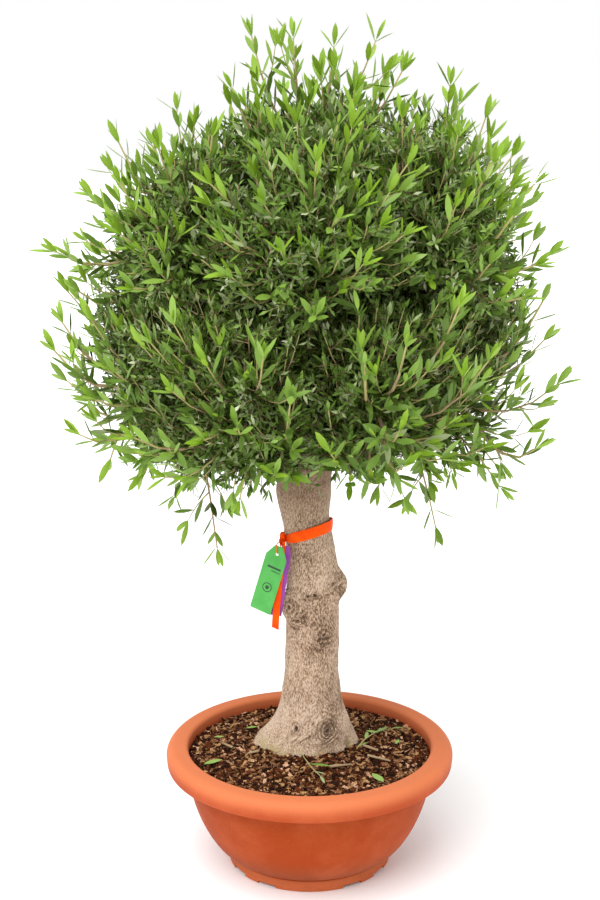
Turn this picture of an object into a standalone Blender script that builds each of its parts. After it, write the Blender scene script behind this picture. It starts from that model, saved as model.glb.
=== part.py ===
"""Potted olive tree: a ball of olive foliage on a bare trunk, in a bowl-shaped pot with a rolled rim.

Metres, +Z up, -Y is the front. The origin is the centre of the pot's underside, on the pot's own axis.
"""

import itertools
import math
import random

import bmesh
import bpy
from mathutils import Vector, geometry, noise

GAP = 0.0003  # left between faces that meet
UP = Vector((0, 0, 1))

# Pot, turned about the origin's vertical axis
POT_FACETS = 36
POT_RADIUS = 0.300
RIM_TOP = 0.255
RIM_ROUND = 0.019
SKIRT_FOOT = 0.215  # height of the rim's lower edge
SKIRT_WALL = 0.004
MOUTH_RADIUS = 0.2546
NECK_RADIUS = 0.2585  # outside of the bowl, just under the rim
WALL = 0.004
INSET_SHARE = 0.75  # how much of an inset goes inwards; the rest is taken by the move up
BOWL_FOOT_RADIUS = 0.1674
BOWL_FOOT = 0.0256  # height where the bowl springs from its foot ring
BOWL_POWERS = (1.62, 1 / 1.61)  # how full the bowl's outline is
FOOT_RADIUS = 0.1704
FOOT_WALL = 0.007
FOOT_NOTCH = 0.0063
NOTCH_DEGREES = 14.5
WIDE_FOOT_DEGREES = 48.0
BASE_UNDERSIDE = 0.010
BASE_TOP = 0.015
PAD_RADIUS = 0.024
DRAIN_RADIUS = 0.008
DRAIN_CIRCLE = 0.105
DRAINS = 4
DRAIN_BEARING = 40.0

# Compost
SOIL_EDGE = 0.228
SOIL_TOP = 0.240
SOIL_FLAT_RADIUS = 0.152  # level ground round the root flare

# Trunk: height, centre across, centre deep, radius
TRUNK_STATIONS = (
    (0.240, -0.011, 0.030, 0.0545),
    (0.300, 0.003, 0.030, 0.0550),
    (0.400, 0.004, 0.029, 0.0550),
    (0.500, 0.006, 0.028, 0.0550),
    (0.560, 0.006, 0.028, 0.0545),
    (0.620, 0.0065, 0.028, 0.0525),
    (0.680, 0.0010, 0.029, 0.0500),
    (0.740, -0.0085, 0.030, 0.0500),
    (0.795, -0.012, 0.030, 0.0550),
    (0.845, -0.008, 0.030, 0.0550),
)
TRUNK_FACETS = 18
TRUNK_STEP = 0.028
TRUNK_FOOT = SOIL_TOP + GAP
FLARE, FLARE_HEIGHT, FLARE_POWER = 0.053, 0.064, 1.25
FLARE_LOBES, FLARE_LOBE_DEPTH = 4, 0.12
FLARE_SHY, FLARE_SHY_DEGREES = 0.50, 55.0  # how much less it spreads in front, and over how wide a part
HEAD_TOP = 0.868
HEAD_RADIUS = 0.040
# Burls: bearing seen from above, height, how far proud, half width in degrees, half height
BURLS = (
    (-8.0, 0.596, 0.0155, 26.0, 0.027),
    (218.0, 0.552, 0.0135, 25.0, 0.027),
    (288.0, 0.498, 0.0040, 26.0, 0.026),
    (293.0, 0.292, 0.0070, 15.0, 0.022),
)
BURL_POWER = 3.0  # how square-shouldered they are, up and down

# Crown
CROWN_CENTRE = Vector((-0.005, 0.030, 1.190))
CROWN_REACH = 0.462
CROWN_SKEW = 0.055  # how much fuller the crown is to the upper right and lower left
CROWN_SPREAD = 0.050  # how far a strong shoot passes its neighbours
UNDERSIDE_FROM, UNDERSIDE_LIFT = 0.80, 0.60  # how much shallower the crown is underneath
CREST_FROM, CREST_FALL = 0.80, 0.20  # and on top
CORE_REACH = 0.362
CORE_HOLLOW = 0.205
CORE_LUMPS, CORE_ROUGHNESS = 9.0, 0.12
HEAD_ROOM = 0.130  # open space round the trunk's head
MASS_GAP = 0.0025
UPPER_MASSES, UPPER_RISE = 5, 36.0
LOWER_MASSES, LOWER_RISE = 7, -24.0
HUB = 0.290  # where a mass's stem forks, from the crown's centre

BOUGH_RADIUS, BOUGH_TIP_RADIUS = 0.0124, 0.0095
BOUGH_CIRCLE = 0.0268
BOUGH_STRAIGHT = 0.008
BOUGH_SHORT = 0.002  # left between a bough's tip and its mass's core
BOUGH_STEPS = 4
STEM_RADIUS, STEM_TIP_RADIUS = 0.0090, 0.0060
SHOOT_RADIUS, SHOOT_TIP_RADIUS = 0.0032, 0.0018
SHOOT_STEPS = 3
SHOOT_CURL = 0.15
EVEN_SHOOTS = 86
SHOOT_CLEARANCE = 0.20  # least angle between a named shoot and its neighbours, in radians

# Leading shoots, which set the outline seen from the front: bearing in degrees from the right, and
# reach from the crown's centre in that view. Each takes the next of the depths behind the centre.
LEADING_SHOOTS = (
    (6, 0.47), (13, 0.52), (21, 0.47), (28, 0.54), (38, 0.52), (48, 0.53), (59, 0.53), (67, 0.52),
    (75, 0.55), (84, 0.53), (93, 0.54), (102, 0.56), (109, 0.47), (122, 0.48), (137, 0.51), (153, 0.51),
    (166, 0.53), (174, 0.50), (186, 0.52), (195, 0.54), (205, 0.53), (218, 0.53), (228, 0.52),
    (238, 0.54), (252, 0.56), (288, 0.45), (298, 0.57), (307, 0.51), (315, 0.57), (323, 0.53),
    (332, 0.55), (340, 0.49), (347, 0.53), (355, 0.50),
)
LEADING_DEPTHS = (-0.12, -0.03, -0.08, 0.02)

# Leaves, in opposite pairs; each stands for a spray of the tree's small ones
LEAF_LENGTH, LEAF_HALF_WIDTH, LEAF_KEEL = 0.108, 0.0165, 0.0032
LEAF_WIDEST = 0.45  # along the leaf
LEAF_SPLAY = 50.0
LEAF_BASE = 0.0048
TIP_LEAF = 0.095
PAIR_STEPS = (0.020, 0.074)  # back from the end of the wood
SEED = 7

# Ribbon and labels, tied round the trunk's waist
RIBBON_HEIGHT = 0.707
RIBBON_TILT = 16.5  # up to the right
RIBBON_LIFT = 7.0  # up to the front
RIBBON_HALF_WIDTH = 0.0115
RIBBON_THICKNESS = 0.0010
RIBBON_CLEARANCE = 0.0005
KNOT_BEARING = 204.0
KNOT_SIZE = (0.012, 0.013, 0.030)
LABEL_HOLE = Vector((-0.0645, 0, 0.6710))  # where the labels hang from the tie
LABEL_THICKNESS = 0.0012
LABEL_HOLE_RADIUS = 0.0030
# Outline: width, length, half the top edge's width, and how far under it the full width and the hole are.
# Hang: lean from upright, turn to the left, how far right of the hole its middle is, how far right it is, depth
LABELS = {
    "green_label": ((0.0470, 0.1490, 0.0090, 0.0245, 0.0180), (17.2, 22.0, 0.0, -0.0014, -0.0210)),
    "violet_label": ((0.0245, 0.1510, 0.0075, 0.0180, 0.0150), (8.5, 0.0, 0.0072, 0.0075, -0.0063)),
}
TIE_RADIUS = 0.0011
TIE_REACH = 0.004  # how far the tie stands out over the labels' tops
TIE_TURN = 0.002  # how far left it comes down over the front label, which is turned
HOLE_REACH = 0.0024  # how far it runs straight before and behind each hole
TAIL_WIDTH, TAIL_END = 0.0145, Vector((-0.0705, -0.0125, 0.5055))
TAIL_CUT = 0.0075  # how much shorter its left edge is
TAIL_DEPTH, TAIL_DROP = -0.0122, 0.0015  # it comes forward over the violet label, to hang between the two
TAIL_ACROSS = 0.0038  # how far right of the knot's middle it leaves
TAIL_LEAD = Vector((-0.002, 0, -0.050))  # the way that it first hangs

# Colour, roughness
MATERIALS = {
    "pot_plastic": ((0.48, 0.115, 0.040), 0.50),
    "compost": ((0.085, 0.040, 0.022), 0.95),
    "bark": ((0.40, 0.29, 0.20), 0.90),
    "foliage": ((0.075, 0.150, 0.030), 0.60),
    "ribbon": ((0.86, 0.13, 0.012), 0.30),
    "green_label": ((0.09, 0.42, 0.10), 0.35),
    "violet_label": ((0.22, 0.06, 0.28), 0.35),
}


# ---- Helpers -----------------------------------------------------------------

def clear_scene():
    for old in list(bpy.data.objects):
        bpy.data.objects.remove(old, do_unlink=True)


def new_collection(name):
    collection = bpy.data.collections.new(name)
    bpy.context.scene.collection.children.link(collection)
    return collection


def make_material(name):
    colour, roughness = MATERIALS[name]
    material = bpy.data.materials.new(name)
    material.use_nodes = True
    shader = material.node_tree.nodes["Principled BSDF"]
    shader.inputs["Base Color"].default_value = (*colour, 1)
    shader.inputs["Roughness"].default_value = roughness
    shader.inputs["Metallic"].default_value = 0
    return material


def add_object(name, data, collection, finish=None):
    made = bpy.data.objects.new(name, data)
    collection.objects.link(made)
    if finish:
        data.materials.clear()
        data.materials.append(make_material(finish))
    return made


def smooth(mesh, degrees=35.0):
    mesh.shade_smooth()
    mesh.set_sharp_from_angle(angle=math.radians(degrees))
    return mesh


def loft(name, sections, ring=False):
    """A closed mesh through sections with as many points each; a section of one point is a tip."""
    bm = bmesh.new()
    rows = [[bm.verts.new(point) for point in section] for section in sections]
    neighbours = list(zip(rows, rows[1:]))
    if ring:
        neighbours.append((rows[-1], rows[0]))
    for low, high in neighbours:
        count = max(len(low), len(high))
        for i in range(count):
            j = (i + 1) % count
            corners = (low[i % len(low)], low[j % len(low)], high[j % len(high)], high[i % len(high)])
            bm.faces.new(list(dict.fromkeys(corners)))
    if not ring:
        for end in (rows[0], rows[-1]):
            if len(end) > 2:
                bm.faces.new(end)
    bmesh.ops.recalc_face_normals(bm, faces=bm.faces)
    bmesh.ops.triangulate(bm, faces=bm.faces)
    mesh = bpy.data.meshes.new(name)
    bm.to_mesh(mesh)
    bm.free()
    return mesh


def turned(name, profile, collection, finish):
    """A profile of (radius, height) points, running down its outer side, swept about the vertical axis."""
    mesh = bpy.data.meshes.new(name)
    edges = [(i, i + 1) for i in range(len(profile) - 1)]
    mesh.from_pydata([(radius, 0, height) for radius, height in profile], edges, [])
    made = add_object(name, mesh, collection, finish)
    screw = made.modifiers.new("Turn", "SCREW")
    screw.steps = screw.render_steps = POT_FACETS
    screw.use_merge_vertices = True
    screw.merge_threshold = 0.00005
    return made


def rod(name, points, radii, collection, finish, resolution=1, closed=False):
    """A tube along points, with its own radius at each."""
    curve = bpy.data.curves.new(name, "CURVE")
    curve.dimensions = "3D"
    curve.bevel_depth = 1.0
    curve.bevel_resolution = resolution
    curve.use_fill_caps = True
    spline = curve.splines.new("POLY")
    spline.points.add(len(points) - 1)
    for knot, point, radius in zip(spline.points, points, radii):
        knot.co = (*point, 1)
        knot.radius = radius
    spline.use_cyclic_u = closed
    return add_object(name, curve, collection, finish)


def between(stations, height, column):
    """A column of a table of stations at a height, on a smooth curve through them."""
    if height <= stations[0][0]:
        return stations[0][column]
    if height >= stations[-1][0]:
        return stations[-1][column]
    i = max(k for k in range(len(stations) - 1) if stations[k][0] <= height)

    def slope(k):
        low, high = stations[max(k - 1, 0)], stations[min(k + 1, len(stations) - 1)]
        return (high[column] - low[column]) / (high[0] - low[0])

    span = stations[i + 1][0] - stations[i][0]
    t = (height - stations[i][0]) / span
    start, end = stations[i][column], stations[i + 1][column]
    return (
        start * (1 + 2 * t) * (1 - t) ** 2
        + end * t * t * (3 - 2 * t)
        + span * t * (1 - t) * (slope(i) * (1 - t) - slope(i + 1) * t)
    )


def bent(start, lead_out, lead_in, end, steps):
    """Points on the curve that leaves start towards lead_out and comes to end from lead_in."""
    return geometry.interpolate_bezier(start, lead_out, lead_in, end, steps)


def level(bearing, rise=0.0):
    """The unit vector at a bearing from the right, turning towards the back, and a rise above level."""
    across, up = math.cos(math.radians(rise)), math.sin(math.radians(rise))
    return Vector((across * math.cos(math.radians(bearing)), across * math.sin(math.radians(bearing)), up))


def even_directions(count):
    """Unit vectors spread evenly over a sphere, along a golden-angle spiral."""
    golden = math.pi * (3 - math.sqrt(5))
    for i in range(count):
        height = 1 - (2 * i + 1) / count
        across = math.sqrt(1 - height * height)
        yield Vector((across * math.cos(golden * i), across * math.sin(golden * i), height))


# ---- Pot and compost ---------------------------------------------------------

def bowl_radius(height):
    """The bowl's outside at a height."""
    t = min(max((height - BOWL_FOOT) / (SKIRT_FOOT - BOWL_FOOT), 0.0), 1.0)
    fill = (1 - (1 - t) ** BOWL_POWERS[0]) ** BOWL_POWERS[1]
    return BOWL_FOOT_RADIUS + (NECK_RADIUS - BOWL_FOOT_RADIUS) * fill


def bowl_heights(low, high, count):
    """Heights that crowd towards the foot, where the bowl turns in."""
    return [low + (high - low) * (i / count) ** 1.5 for i in range(count + 1)]


def inner_wall(inset):
    """The outside of the bowl moved up and in by an inset, from the base plate to just under the rim."""
    heights = bowl_heights(BOWL_FOOT, SKIRT_FOOT - 4 * WALL, 4)
    wall = [(bowl_radius(z) - INSET_SHARE * inset, z + inset) for z in heights]
    return [(wall[0][0], BASE_TOP + inset - WALL)] + wall


def arc(radius, height, size, start, end, steps):
    """Points on an arc about (radius, height), from one angle to another in degrees."""
    angles = [math.radians(start + (end - start) * i / steps) for i in range(steps + 1)]
    return [(radius + size * math.cos(a), height + size * math.sin(a)) for a in angles]


def pot_profile():
    lip_height = RIM_TOP - RIM_ROUND
    lip_centre = POT_RADIUS - RIM_ROUND
    inner_lip = 0.008
    profile = [(0, BASE_TOP)] + inner_wall(WALL)
    profile.append((MOUTH_RADIUS, RIM_TOP - inner_lip))
    profile += arc(MOUTH_RADIUS + inner_lip, RIM_TOP - inner_lip, inner_lip, 140, 90, 1)
    profile += arc(lip_centre, lip_height, RIM_ROUND, 90, 0, 4)
    profile += [
        (POT_RADIUS - 0.0012, SKIRT_FOOT + 0.005),
        (POT_RADIUS - 0.0030, SKIRT_FOOT),
        (POT_RADIUS - 0.0030 - SKIRT_WALL, SKIRT_FOOT),
        (POT_RADIUS - 0.0030 - SKIRT_WALL, lip_height),
        (lip_centre - 0.004, RIM_TOP - 2 * SKIRT_WALL),
        (NECK_RADIUS, RIM_TOP - 2 * SKIRT_WALL),
    ]
    profile += [(bowl_radius(z), z) for z in reversed(bowl_heights(BOWL_FOOT, SKIRT_FOOT, 6))]
    profile += [
        (FOOT_RADIUS, BOWL_FOOT - 0.001),
        (FOOT_RADIUS, 0),
        (FOOT_RADIUS - FOOT_WALL, 0),
        (FOOT_RADIUS - FOOT_WALL, BASE_UNDERSIDE),
        (PAD_RADIUS + 0.002, BASE_UNDERSIDE),
        (PAD_RADIUS, 0),
        (0, 0),
    ]
    return profile


def make_pot(parts, cutters):
    """The bowl with its rolled rim, its foot ring notched into eight feet, and its drain holes."""
    pot = turned("pot", pot_profile(), parts, "pot_plastic")
    notch_width = 2 * FOOT_RADIUS * math.sin(math.radians(NOTCH_DEGREES / 2))
    for foot in range(4):
        for side in (-1, 1):
            bearing = 270 + 90 * foot + side * (WIDE_FOOT_DEGREES + NOTCH_DEGREES) / 2
            cut_box(cutters, bearing, notch_width)
    for drain in range(DRAINS):
        bpy.ops.mesh.primitive_cylinder_add(
            vertices=10, radius=DRAIN_RADIUS, depth=4 * BASE_TOP,
            location=DRAIN_CIRCLE * level(DRAIN_BEARING + 360 * drain / DRAINS),
        )
        move_to(bpy.context.object, cutters)
    cut = pot.modifiers.new("Feet and drains", "BOOLEAN")
    cut.operation = "DIFFERENCE"
    cut.operand_type = "COLLECTION"
    cut.collection = cutters


def cut_box(cutters, bearing, width):
    """A box across the foot ring, as deep as a notch."""
    bpy.ops.mesh.primitive_cube_add(size=1, location=(FOOT_RADIUS - FOOT_WALL / 2) * level(bearing))
    box = bpy.context.object
    box.scale = (6 * FOOT_WALL, width, 2 * FOOT_NOTCH)
    box.rotation_euler.z = math.radians(bearing)
    move_to(box, cutters)


def move_to(made, collection):
    """A cutter goes in its own collection and is never rendered."""
    for old in list(made.users_collection):
        old.objects.unlink(made)
    collection.objects.link(made)
    made.hide_render = True
    made.display_type = "WIRE"


def make_compost(parts):
    """The compost that fills the pot, level round the trunk and lower at the wall."""
    wall = inner_wall(WALL + GAP)
    edge = (MOUTH_RADIUS - 2 * GAP, SOIL_EDGE)
    profile = [(0, SOIL_TOP), (SOIL_FLAT_RADIUS, SOIL_TOP), edge] + wall[::-1] + [(0, wall[0][1])]
    turned("compost", profile, parts, "compost")


# ---- Trunk and boughs --------------------------------------------------------

def trunk_centre(height):
    return Vector((between(TRUNK_STATIONS, height, 1), between(TRUNK_STATIONS, height, 2), height))


def trunk_radius(bearing, height):
    """The trunk's radius at a bearing: its stem, the root flare with its lobes, and the burls."""
    radius = between(TRUNK_STATIONS, height, 3)
    flare = FLARE * math.exp(-((max(height - TRUNK_FOOT, 0) / FLARE_HEIGHT) ** FLARE_POWER))
    front = (bearing - 90) % 360 - 180
    flare *= 1 - FLARE_SHY * math.exp(-((front / FLARE_SHY_DEGREES) ** 2))
    radius += flare * (1 + FLARE_LOBE_DEPTH * math.cos(math.radians(FLARE_LOBES * bearing)))
    for toward, at, proud, half_width, half_height in BURLS:
        turn = (bearing - toward + 180) % 360 - 180
        radius += proud * math.exp(-((turn / half_width) ** 2) - (abs(height - at) / half_height) ** BURL_POWER)
    return radius


def trunk_section(height, radius=None):
    centre = trunk_centre(height)
    bearings = [360 * i / TRUNK_FACETS for i in range(TRUNK_FACETS)]
    return [centre + (radius or trunk_radius(b, height)) * level(b) for b in bearings]


def make_trunk(parts):
    shoulder = TRUNK_STATIONS[-1][0]
    rings = round((shoulder - TRUNK_FOOT) / TRUNK_STEP)
    heights = [TRUNK_FOOT + (shoulder - TRUNK_FOOT) * i / rings for i in range(rings + 1)]
    sections = [trunk_section(height) for height in heights]
    sections.append(trunk_section(HEAD_TOP, HEAD_RADIUS))
    add_object("trunk", smooth(loft("trunk", sections)), parts, "bark")


def head_centre():
    return trunk_centre(HEAD_TOP)


def bough_route(mass, entry, inward):
    """From the trunk's head to where the bough enters its mass, straight at both ends."""
    if mass.rise > 0:
        out = UP
        seat = head_centre() + level(mass.bearing) * (BOUGH_CIRCLE if mass.rise < 90 else 0)
    else:
        run = TRUNK_STATIONS[-1][3] - HEAD_RADIUS
        fall = HEAD_TOP - TRUNK_STATIONS[-1][0]
        out = (level(mass.bearing) * fall + UP * run).normalized()
        seat = head_centre() + level(mass.bearing) * (HEAD_RADIUS + run / 2) - UP * fall / 2
    foot, tip = seat + GAP * out, entry - BOUGH_STRAIGHT * inward
    rise = foot + BOUGH_STRAIGHT * out
    pull = 0.35 * (tip - rise).length
    return [foot, *bent(rise, rise + pull * out, tip - pull * inward, tip, BOUGH_STEPS), entry]


def make_bough(mass, parts):
    last = len(mass.route) - 1
    radii = [BOUGH_RADIUS + (BOUGH_TIP_RADIUS - BOUGH_RADIUS) * i / last for i in range(last + 1)]
    rod("bough_" + mass.name, mass.route, radii, parts, "bark")


# ---- Crown -------------------------------------------------------------------

class Mass:
    """One mass of foliage: its place in the crown, the core it fills, and the stem it grows from."""

    def __init__(self, name, bearing, rise):
        self.name = name
        self.bearing = bearing
        self.rise = rise
        self.direction = level(bearing, rise)

    def hub(self):
        return CROWN_CENTRE + HUB * self.direction


def crown_masses():
    masses = [Mass("top", 270.0, 90.0)]
    for i in range(UPPER_MASSES):
        masses.append(Mass(f"upper_{i + 1}", 270 + 360 * i / UPPER_MASSES, UPPER_RISE))
    for i in range(LOWER_MASSES):
        masses.append(Mass(f"lower_{i + 1}", 270 + 360 * (i + 0.5) / LOWER_MASSES, LOWER_RISE))
    return masses


def nearest(masses, direction):
    return max(masses, key=lambda mass: mass.direction.dot(direction))


def room(masses, mass, point):
    """How far inside its mass's own space a point lies."""
    out = point - CROWN_CENTRE
    return min(
        out.dot((mass.direction - other.direction).normalized()) for other in masses if other is not mass
    )


def cut_away(bm, point, outward):
    """Cuts off what lies beyond a plane and closes the cut."""
    geom = [*bm.verts, *bm.edges, *bm.faces]
    bmesh.ops.bisect_plane(bm, geom=geom, plane_co=point, plane_no=outward, dist=1e-6, clear_outer=True)
    bmesh.ops.holes_fill(bm, edges=[edge for edge in bm.edges if edge.is_boundary])


def core_mesh(masses, mass):
    """A mass's dense core: its share of an uneven ball, less the open middle and the trunk head's room."""
    bm = bmesh.new()
    bmesh.ops.create_icosphere(bm, subdivisions=3, radius=CORE_REACH)
    for vert in bm.verts:
        vert.co *= 1 + CORE_ROUGHNESS * noise.noise(vert.co * CORE_LUMPS)
        vert.co += CROWN_CENTRE
    for other in masses:
        if other is not mass:
            outward = (other.direction - mass.direction).normalized()
            cut_away(bm, CROWN_CENTRE - MASS_GAP * outward, outward)
    cut_away(bm, CROWN_CENTRE + CORE_HOLLOW * mass.direction, -mass.direction)
    if mass.rise < 0:
        away = (mass.hub() - head_centre()).normalized()
        cut_away(bm, head_centre() + HEAD_ROOM * away, -away)
    bmesh.ops.triangulate(bm, faces=bm.faces)
    bmesh.ops.recalc_face_normals(bm, faces=bm.faces)
    mesh = bpy.data.meshes.new("core")
    bm.to_mesh(mesh)
    bm.free()
    return mesh


def entry_point(mass):
    """Where a bough stops, just short of its mass's core, and which way it then points."""
    start, depth = (head_centre(), HEAD_ROOM) if mass.rise < 0 else (CROWN_CENTRE, CORE_HOLLOW)
    line = (mass.hub() - start).normalized()
    return start + (depth - BOUGH_SHORT) * line, line


def stem_sections(start, heading, hub):
    """The mass's own stem, from 0.3 mm past its bough's tip to its fork."""
    across = heading.orthogonal().normalized()
    up = heading.cross(across)
    sections = []
    for along, radius in ((GAP, STEM_RADIUS), ((hub - start).length, STEM_TIP_RADIUS)):
        centre = start + along * heading
        turns = [math.radians(60 * i) for i in range(6)]
        sections.append([centre + radius * (math.cos(a) * across + math.sin(a) * up) for a in turns])
    return sections


def shoot_goals():
    """Where each shoot of the crown ends: the named ones, and an even spread between them."""
    goals = []
    for (bearing, reach), depth in zip(LEADING_SHOOTS, itertools.cycle(LEADING_DEPTHS)):
        seen = math.radians(bearing)
        goals.append(Vector((reach * math.cos(seen), depth, reach * math.sin(seen))))
    named = [goal.normalized() for goal in goals]
    draw = random.Random(SEED)
    for direction in even_directions(EVEN_SHOOTS):
        strength = draw.random()
        if direction.z < -0.90 or any(direction.angle(other) < SHOOT_CLEARANCE for other in named):
            continue
        reach = CROWN_REACH + CROWN_SKEW * direction.x * direction.z + CROWN_SPREAD * strength ** 2
        reach -= UNDERSIDE_LIFT * max(-direction.z - UNDERSIDE_FROM, 0)
        reach -= CREST_FALL * max(direction.z - CREST_FROM, 0)
        goals.append(reach * direction)
    return goals


def shoot_route(fork, goal, curl):
    """A shoot sets off outwards, then turns up; one that hangs under the crown turns down."""
    length = (goal - fork).length
    lift = -curl if goal.z - CROWN_CENTRE.z < -0.30 else curl
    sag = lift * length * UP
    third = (goal - fork) / 3
    return bent(fork, fork + third - sag / 2, fork + 2 * third - sag, goal, SHOOT_STEPS + 1)


def frame_along(heading, turn):
    """A side and a face direction square to a heading, turned about it."""
    side = heading.cross(UP)
    if side.length < 0.1:
        side = heading.cross(Vector((1, 0, 0)))
    side.normalize()
    face = side.cross(heading)
    return side * math.cos(turn) + face * math.sin(turn), face * math.cos(turn) - side * math.sin(turn)


def shoot_sections(points, turn):
    """A three-sided twig that ends in its own leaf."""
    sections = []
    for i, point in enumerate(points):
        heading = (points[min(i + 1, SHOOT_STEPS)] - points[max(i - 1, 0)]).normalized()
        side, face = frame_along(heading, turn)
        radius = SHOOT_RADIUS + (SHOOT_TIP_RADIUS - SHOOT_RADIUS) * i / SHOOT_STEPS
        sections.append([point + radius * side, point - radius * side, point - 1.2 * radius * face])
    end, heading = points[-1], (points[-1] - points[-2]).normalized()
    side, face = frame_along(heading, turn)
    middle = end + LEAF_WIDEST * TIP_LEAF * heading
    half = LEAF_HALF_WIDTH
    sections.append([middle + half * side, middle - half * side, middle - LEAF_KEEL * face])
    sections.append([end + TIP_LEAF * heading])
    return sections


def pair_sections(point, heading, turn, length):
    """Two opposite leaves that meet in the twig, flat above and keeled below."""
    side, face = frame_along(heading, turn)
    splay = math.radians(LEAF_SPLAY)
    sections = []
    for hand in (1, -1):
        blade = math.cos(splay) * heading + hand * math.sin(splay) * side
        above = (heading - heading.dot(blade) * blade).normalized()
        middle = point + LEAF_WIDEST * length * blade
        half = LEAF_HALF_WIDTH * length / LEAF_LENGTH
        wide = [middle + half * face, middle - half * face, middle - LEAF_KEEL * above]
        tip = [point + length * blade]
        sections += [tip, wide] if hand == 1 else [wide, tip]
    heart = [
        point + LEAF_BASE * (face + 0.3 * heading),
        point - LEAF_BASE * (face - 0.3 * heading),
        point - 1.3 * LEAF_BASE * heading,
    ]
    return sections[:2] + [heart] + sections[2:]


def corners(sections):
    return [point for section in sections for point in section]


def fits(masses, mass, points):
    """Whether leaves or a twig keep to their mass's space and clear of every limb."""
    for point in points:
        if room(masses, mass, point) < MASS_GAP:
            return False
        if point.z < HEAD_TOP:
            centre = trunk_centre(point.z)
            away = math.hypot(point.x - centre.x, point.y - centre.y)
            if away < trunk_radius(0, max(point.z, 0.62)) + 0.020:
                return False
    for limb in masses:
        for start, end in zip(limb.route, limb.route[1:]):
            for point in points:
                foot, share = geometry.intersect_point_line(point, start, end)
                if 0 <= share <= 1 and (point - foot).length < BOUGH_RADIUS + 0.008:
                    return False
    return True


def grow(mass, masses, goals, entry, heading, pieces):
    """A mass's stem, shoots and leaves, each a closed piece of its own until they are joined."""
    add_object("stem", loft("stem", stem_sections(entry, heading, mass.hub())), pieces)
    for number, goal in enumerate(goals):
        if nearest(masses, goal) is not mass:
            continue
        draw = random.Random(SEED * 1000 + number)
        fork = entry.lerp(mass.hub(), draw.uniform(0.75, 0.97))
        turn = draw.uniform(-0.5, 0.5)
        for curl in (SHOOT_CURL, SHOOT_CURL / 3, 0):
            end = CROWN_CENTRE + goal
            wood = shoot_route(fork, end - TIP_LEAF * (end - fork).normalized(), curl)
            heading_out = (wood[-1] - wood[-2]).normalized()
            wood = shoot_route(fork, end - TIP_LEAF * heading_out, curl)
            sections = shoot_sections(wood, turn)
            if fits(masses, mass, corners(sections[2:])):
                add_object("shoot", loft("shoot", sections), pieces)
                add_pairs(mass, masses, wood, turn, draw, pieces)
                break


def add_pairs(mass, masses, wood, turn, draw, pieces):
    """Opposite leaves down a shoot, each pair turned a quarter from the last."""
    lengths = [(b - a).length for a, b in zip(wood, wood[1:])]
    for step, back in enumerate(PAIR_STEPS):
        i, left = SHOOT_STEPS - 1, back
        while i > 0 and left > lengths[i]:
            left -= lengths[i]
            i -= 1
        heading = (wood[i + 1] - wood[i]).normalized()
        point = wood[i + 1] - left * heading
        length = LEAF_LENGTH * draw.uniform(0.82, 1.08)
        if (point - CROWN_CENTRE).length < CORE_REACH - 0.02:
            break
        for quarter_turn in (step, step + 0.5, step + 1):
            sections = pair_sections(point, heading, turn + quarter_turn * math.pi / 2, length)
            if fits(masses, mass, corners(sections)):
                add_object("pair", loft("pair", sections), pieces)
                break


def outer_body(mesh):
    """Drops loose scraps and the walls of sealed hollows, which leaves one closed body."""
    bm = bmesh.new()
    bm.from_mesh(mesh)
    left, bodies = set(bm.verts), []
    while left:
        body, edge = set(), [left.pop()]
        while edge:
            vert = edge.pop()
            body.add(vert)
            for link in vert.link_edges:
                other = link.other_vert(vert)
                if other in left:
                    left.remove(other)
                    edge.append(other)
        bodies.append(body)
    largest = max(bodies, key=len)
    scraps = [vert for body in bodies if body is not largest for vert in body]
    bmesh.ops.delete(bm, geom=scraps, context="VERTS")
    bm.to_mesh(mesh)
    bm.free()
    return mesh


def make_mass(mass, masses, goals, parts):
    """One mass: its core, stem, shoots and leaves, joined into one body."""
    pieces = new_collection("pieces_" + mass.name)
    entry, heading = entry_point(mass)
    grow(mass, masses, goals, entry, heading, pieces)
    core = add_object("core", core_mesh(masses, mass), parts)
    join = core.modifiers.new("Join", "BOOLEAN")
    join.operation = "UNION"
    join.solver = "MANIFOLD"  # EXACT is slow on this many crossings
    join.operand_type = "COLLECTION"
    join.collection = pieces
    shaped = core.evaluated_get(bpy.context.evaluated_depsgraph_get())
    mesh = outer_body(bpy.data.meshes.new_from_object(shaped))
    mesh.name = "foliage_" + mass.name
    add_object(mesh.name, mesh, parts, "foliage")
    for piece in [core, *pieces.objects]:
        bpy.data.objects.remove(piece, do_unlink=True)
    bpy.data.collections.remove(pieces)


# ---- Ribbon and labels -------------------------------------------------------

def ribbon_height(bearing):
    """The ribbon's middle, which climbs to the right and to the front."""
    across = TRUNK_STATIONS[6][3] * math.cos(math.radians(bearing))
    ahead = -TRUNK_STATIONS[6][3] * math.sin(math.radians(bearing))
    slopes = [math.tan(math.radians(angle)) for angle in (RIBBON_TILT, RIBBON_LIFT)]
    return RIBBON_HEIGHT + across * slopes[0] + ahead * slopes[1]


def ribbon_radius(bearing):
    """The widest that the trunk gets under the ribbon, and a little slack."""
    middle = ribbon_height(bearing)
    reaches = []
    for i in range(-2, 3):
        height = middle + i * RIBBON_HALF_WIDTH / 2
        away = trunk_centre(height) + trunk_radius(bearing, height) * level(bearing)
        reaches.append((away - trunk_centre(middle)).dot(level(bearing)))
    return max(reaches) + RIBBON_CLEARANCE


def make_band(parts):
    sections = []
    for i in range(TRUNK_FACETS):
        bearing = 360 * i / TRUNK_FACETS
        middle, radius = ribbon_height(bearing), ribbon_radius(bearing)
        section = []
        for up, out in ((-1, 0), (-1, 1), (1, 1), (1, 0)):
            point = trunk_centre(middle) + (radius + out * RIBBON_THICKNESS) * level(bearing)
            section.append(point + up * RIBBON_HALF_WIDTH * UP)
        sections.append(section)
    add_object("ribbon_band", loft("ribbon_band", sections, ring=True), parts, "ribbon")


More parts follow.
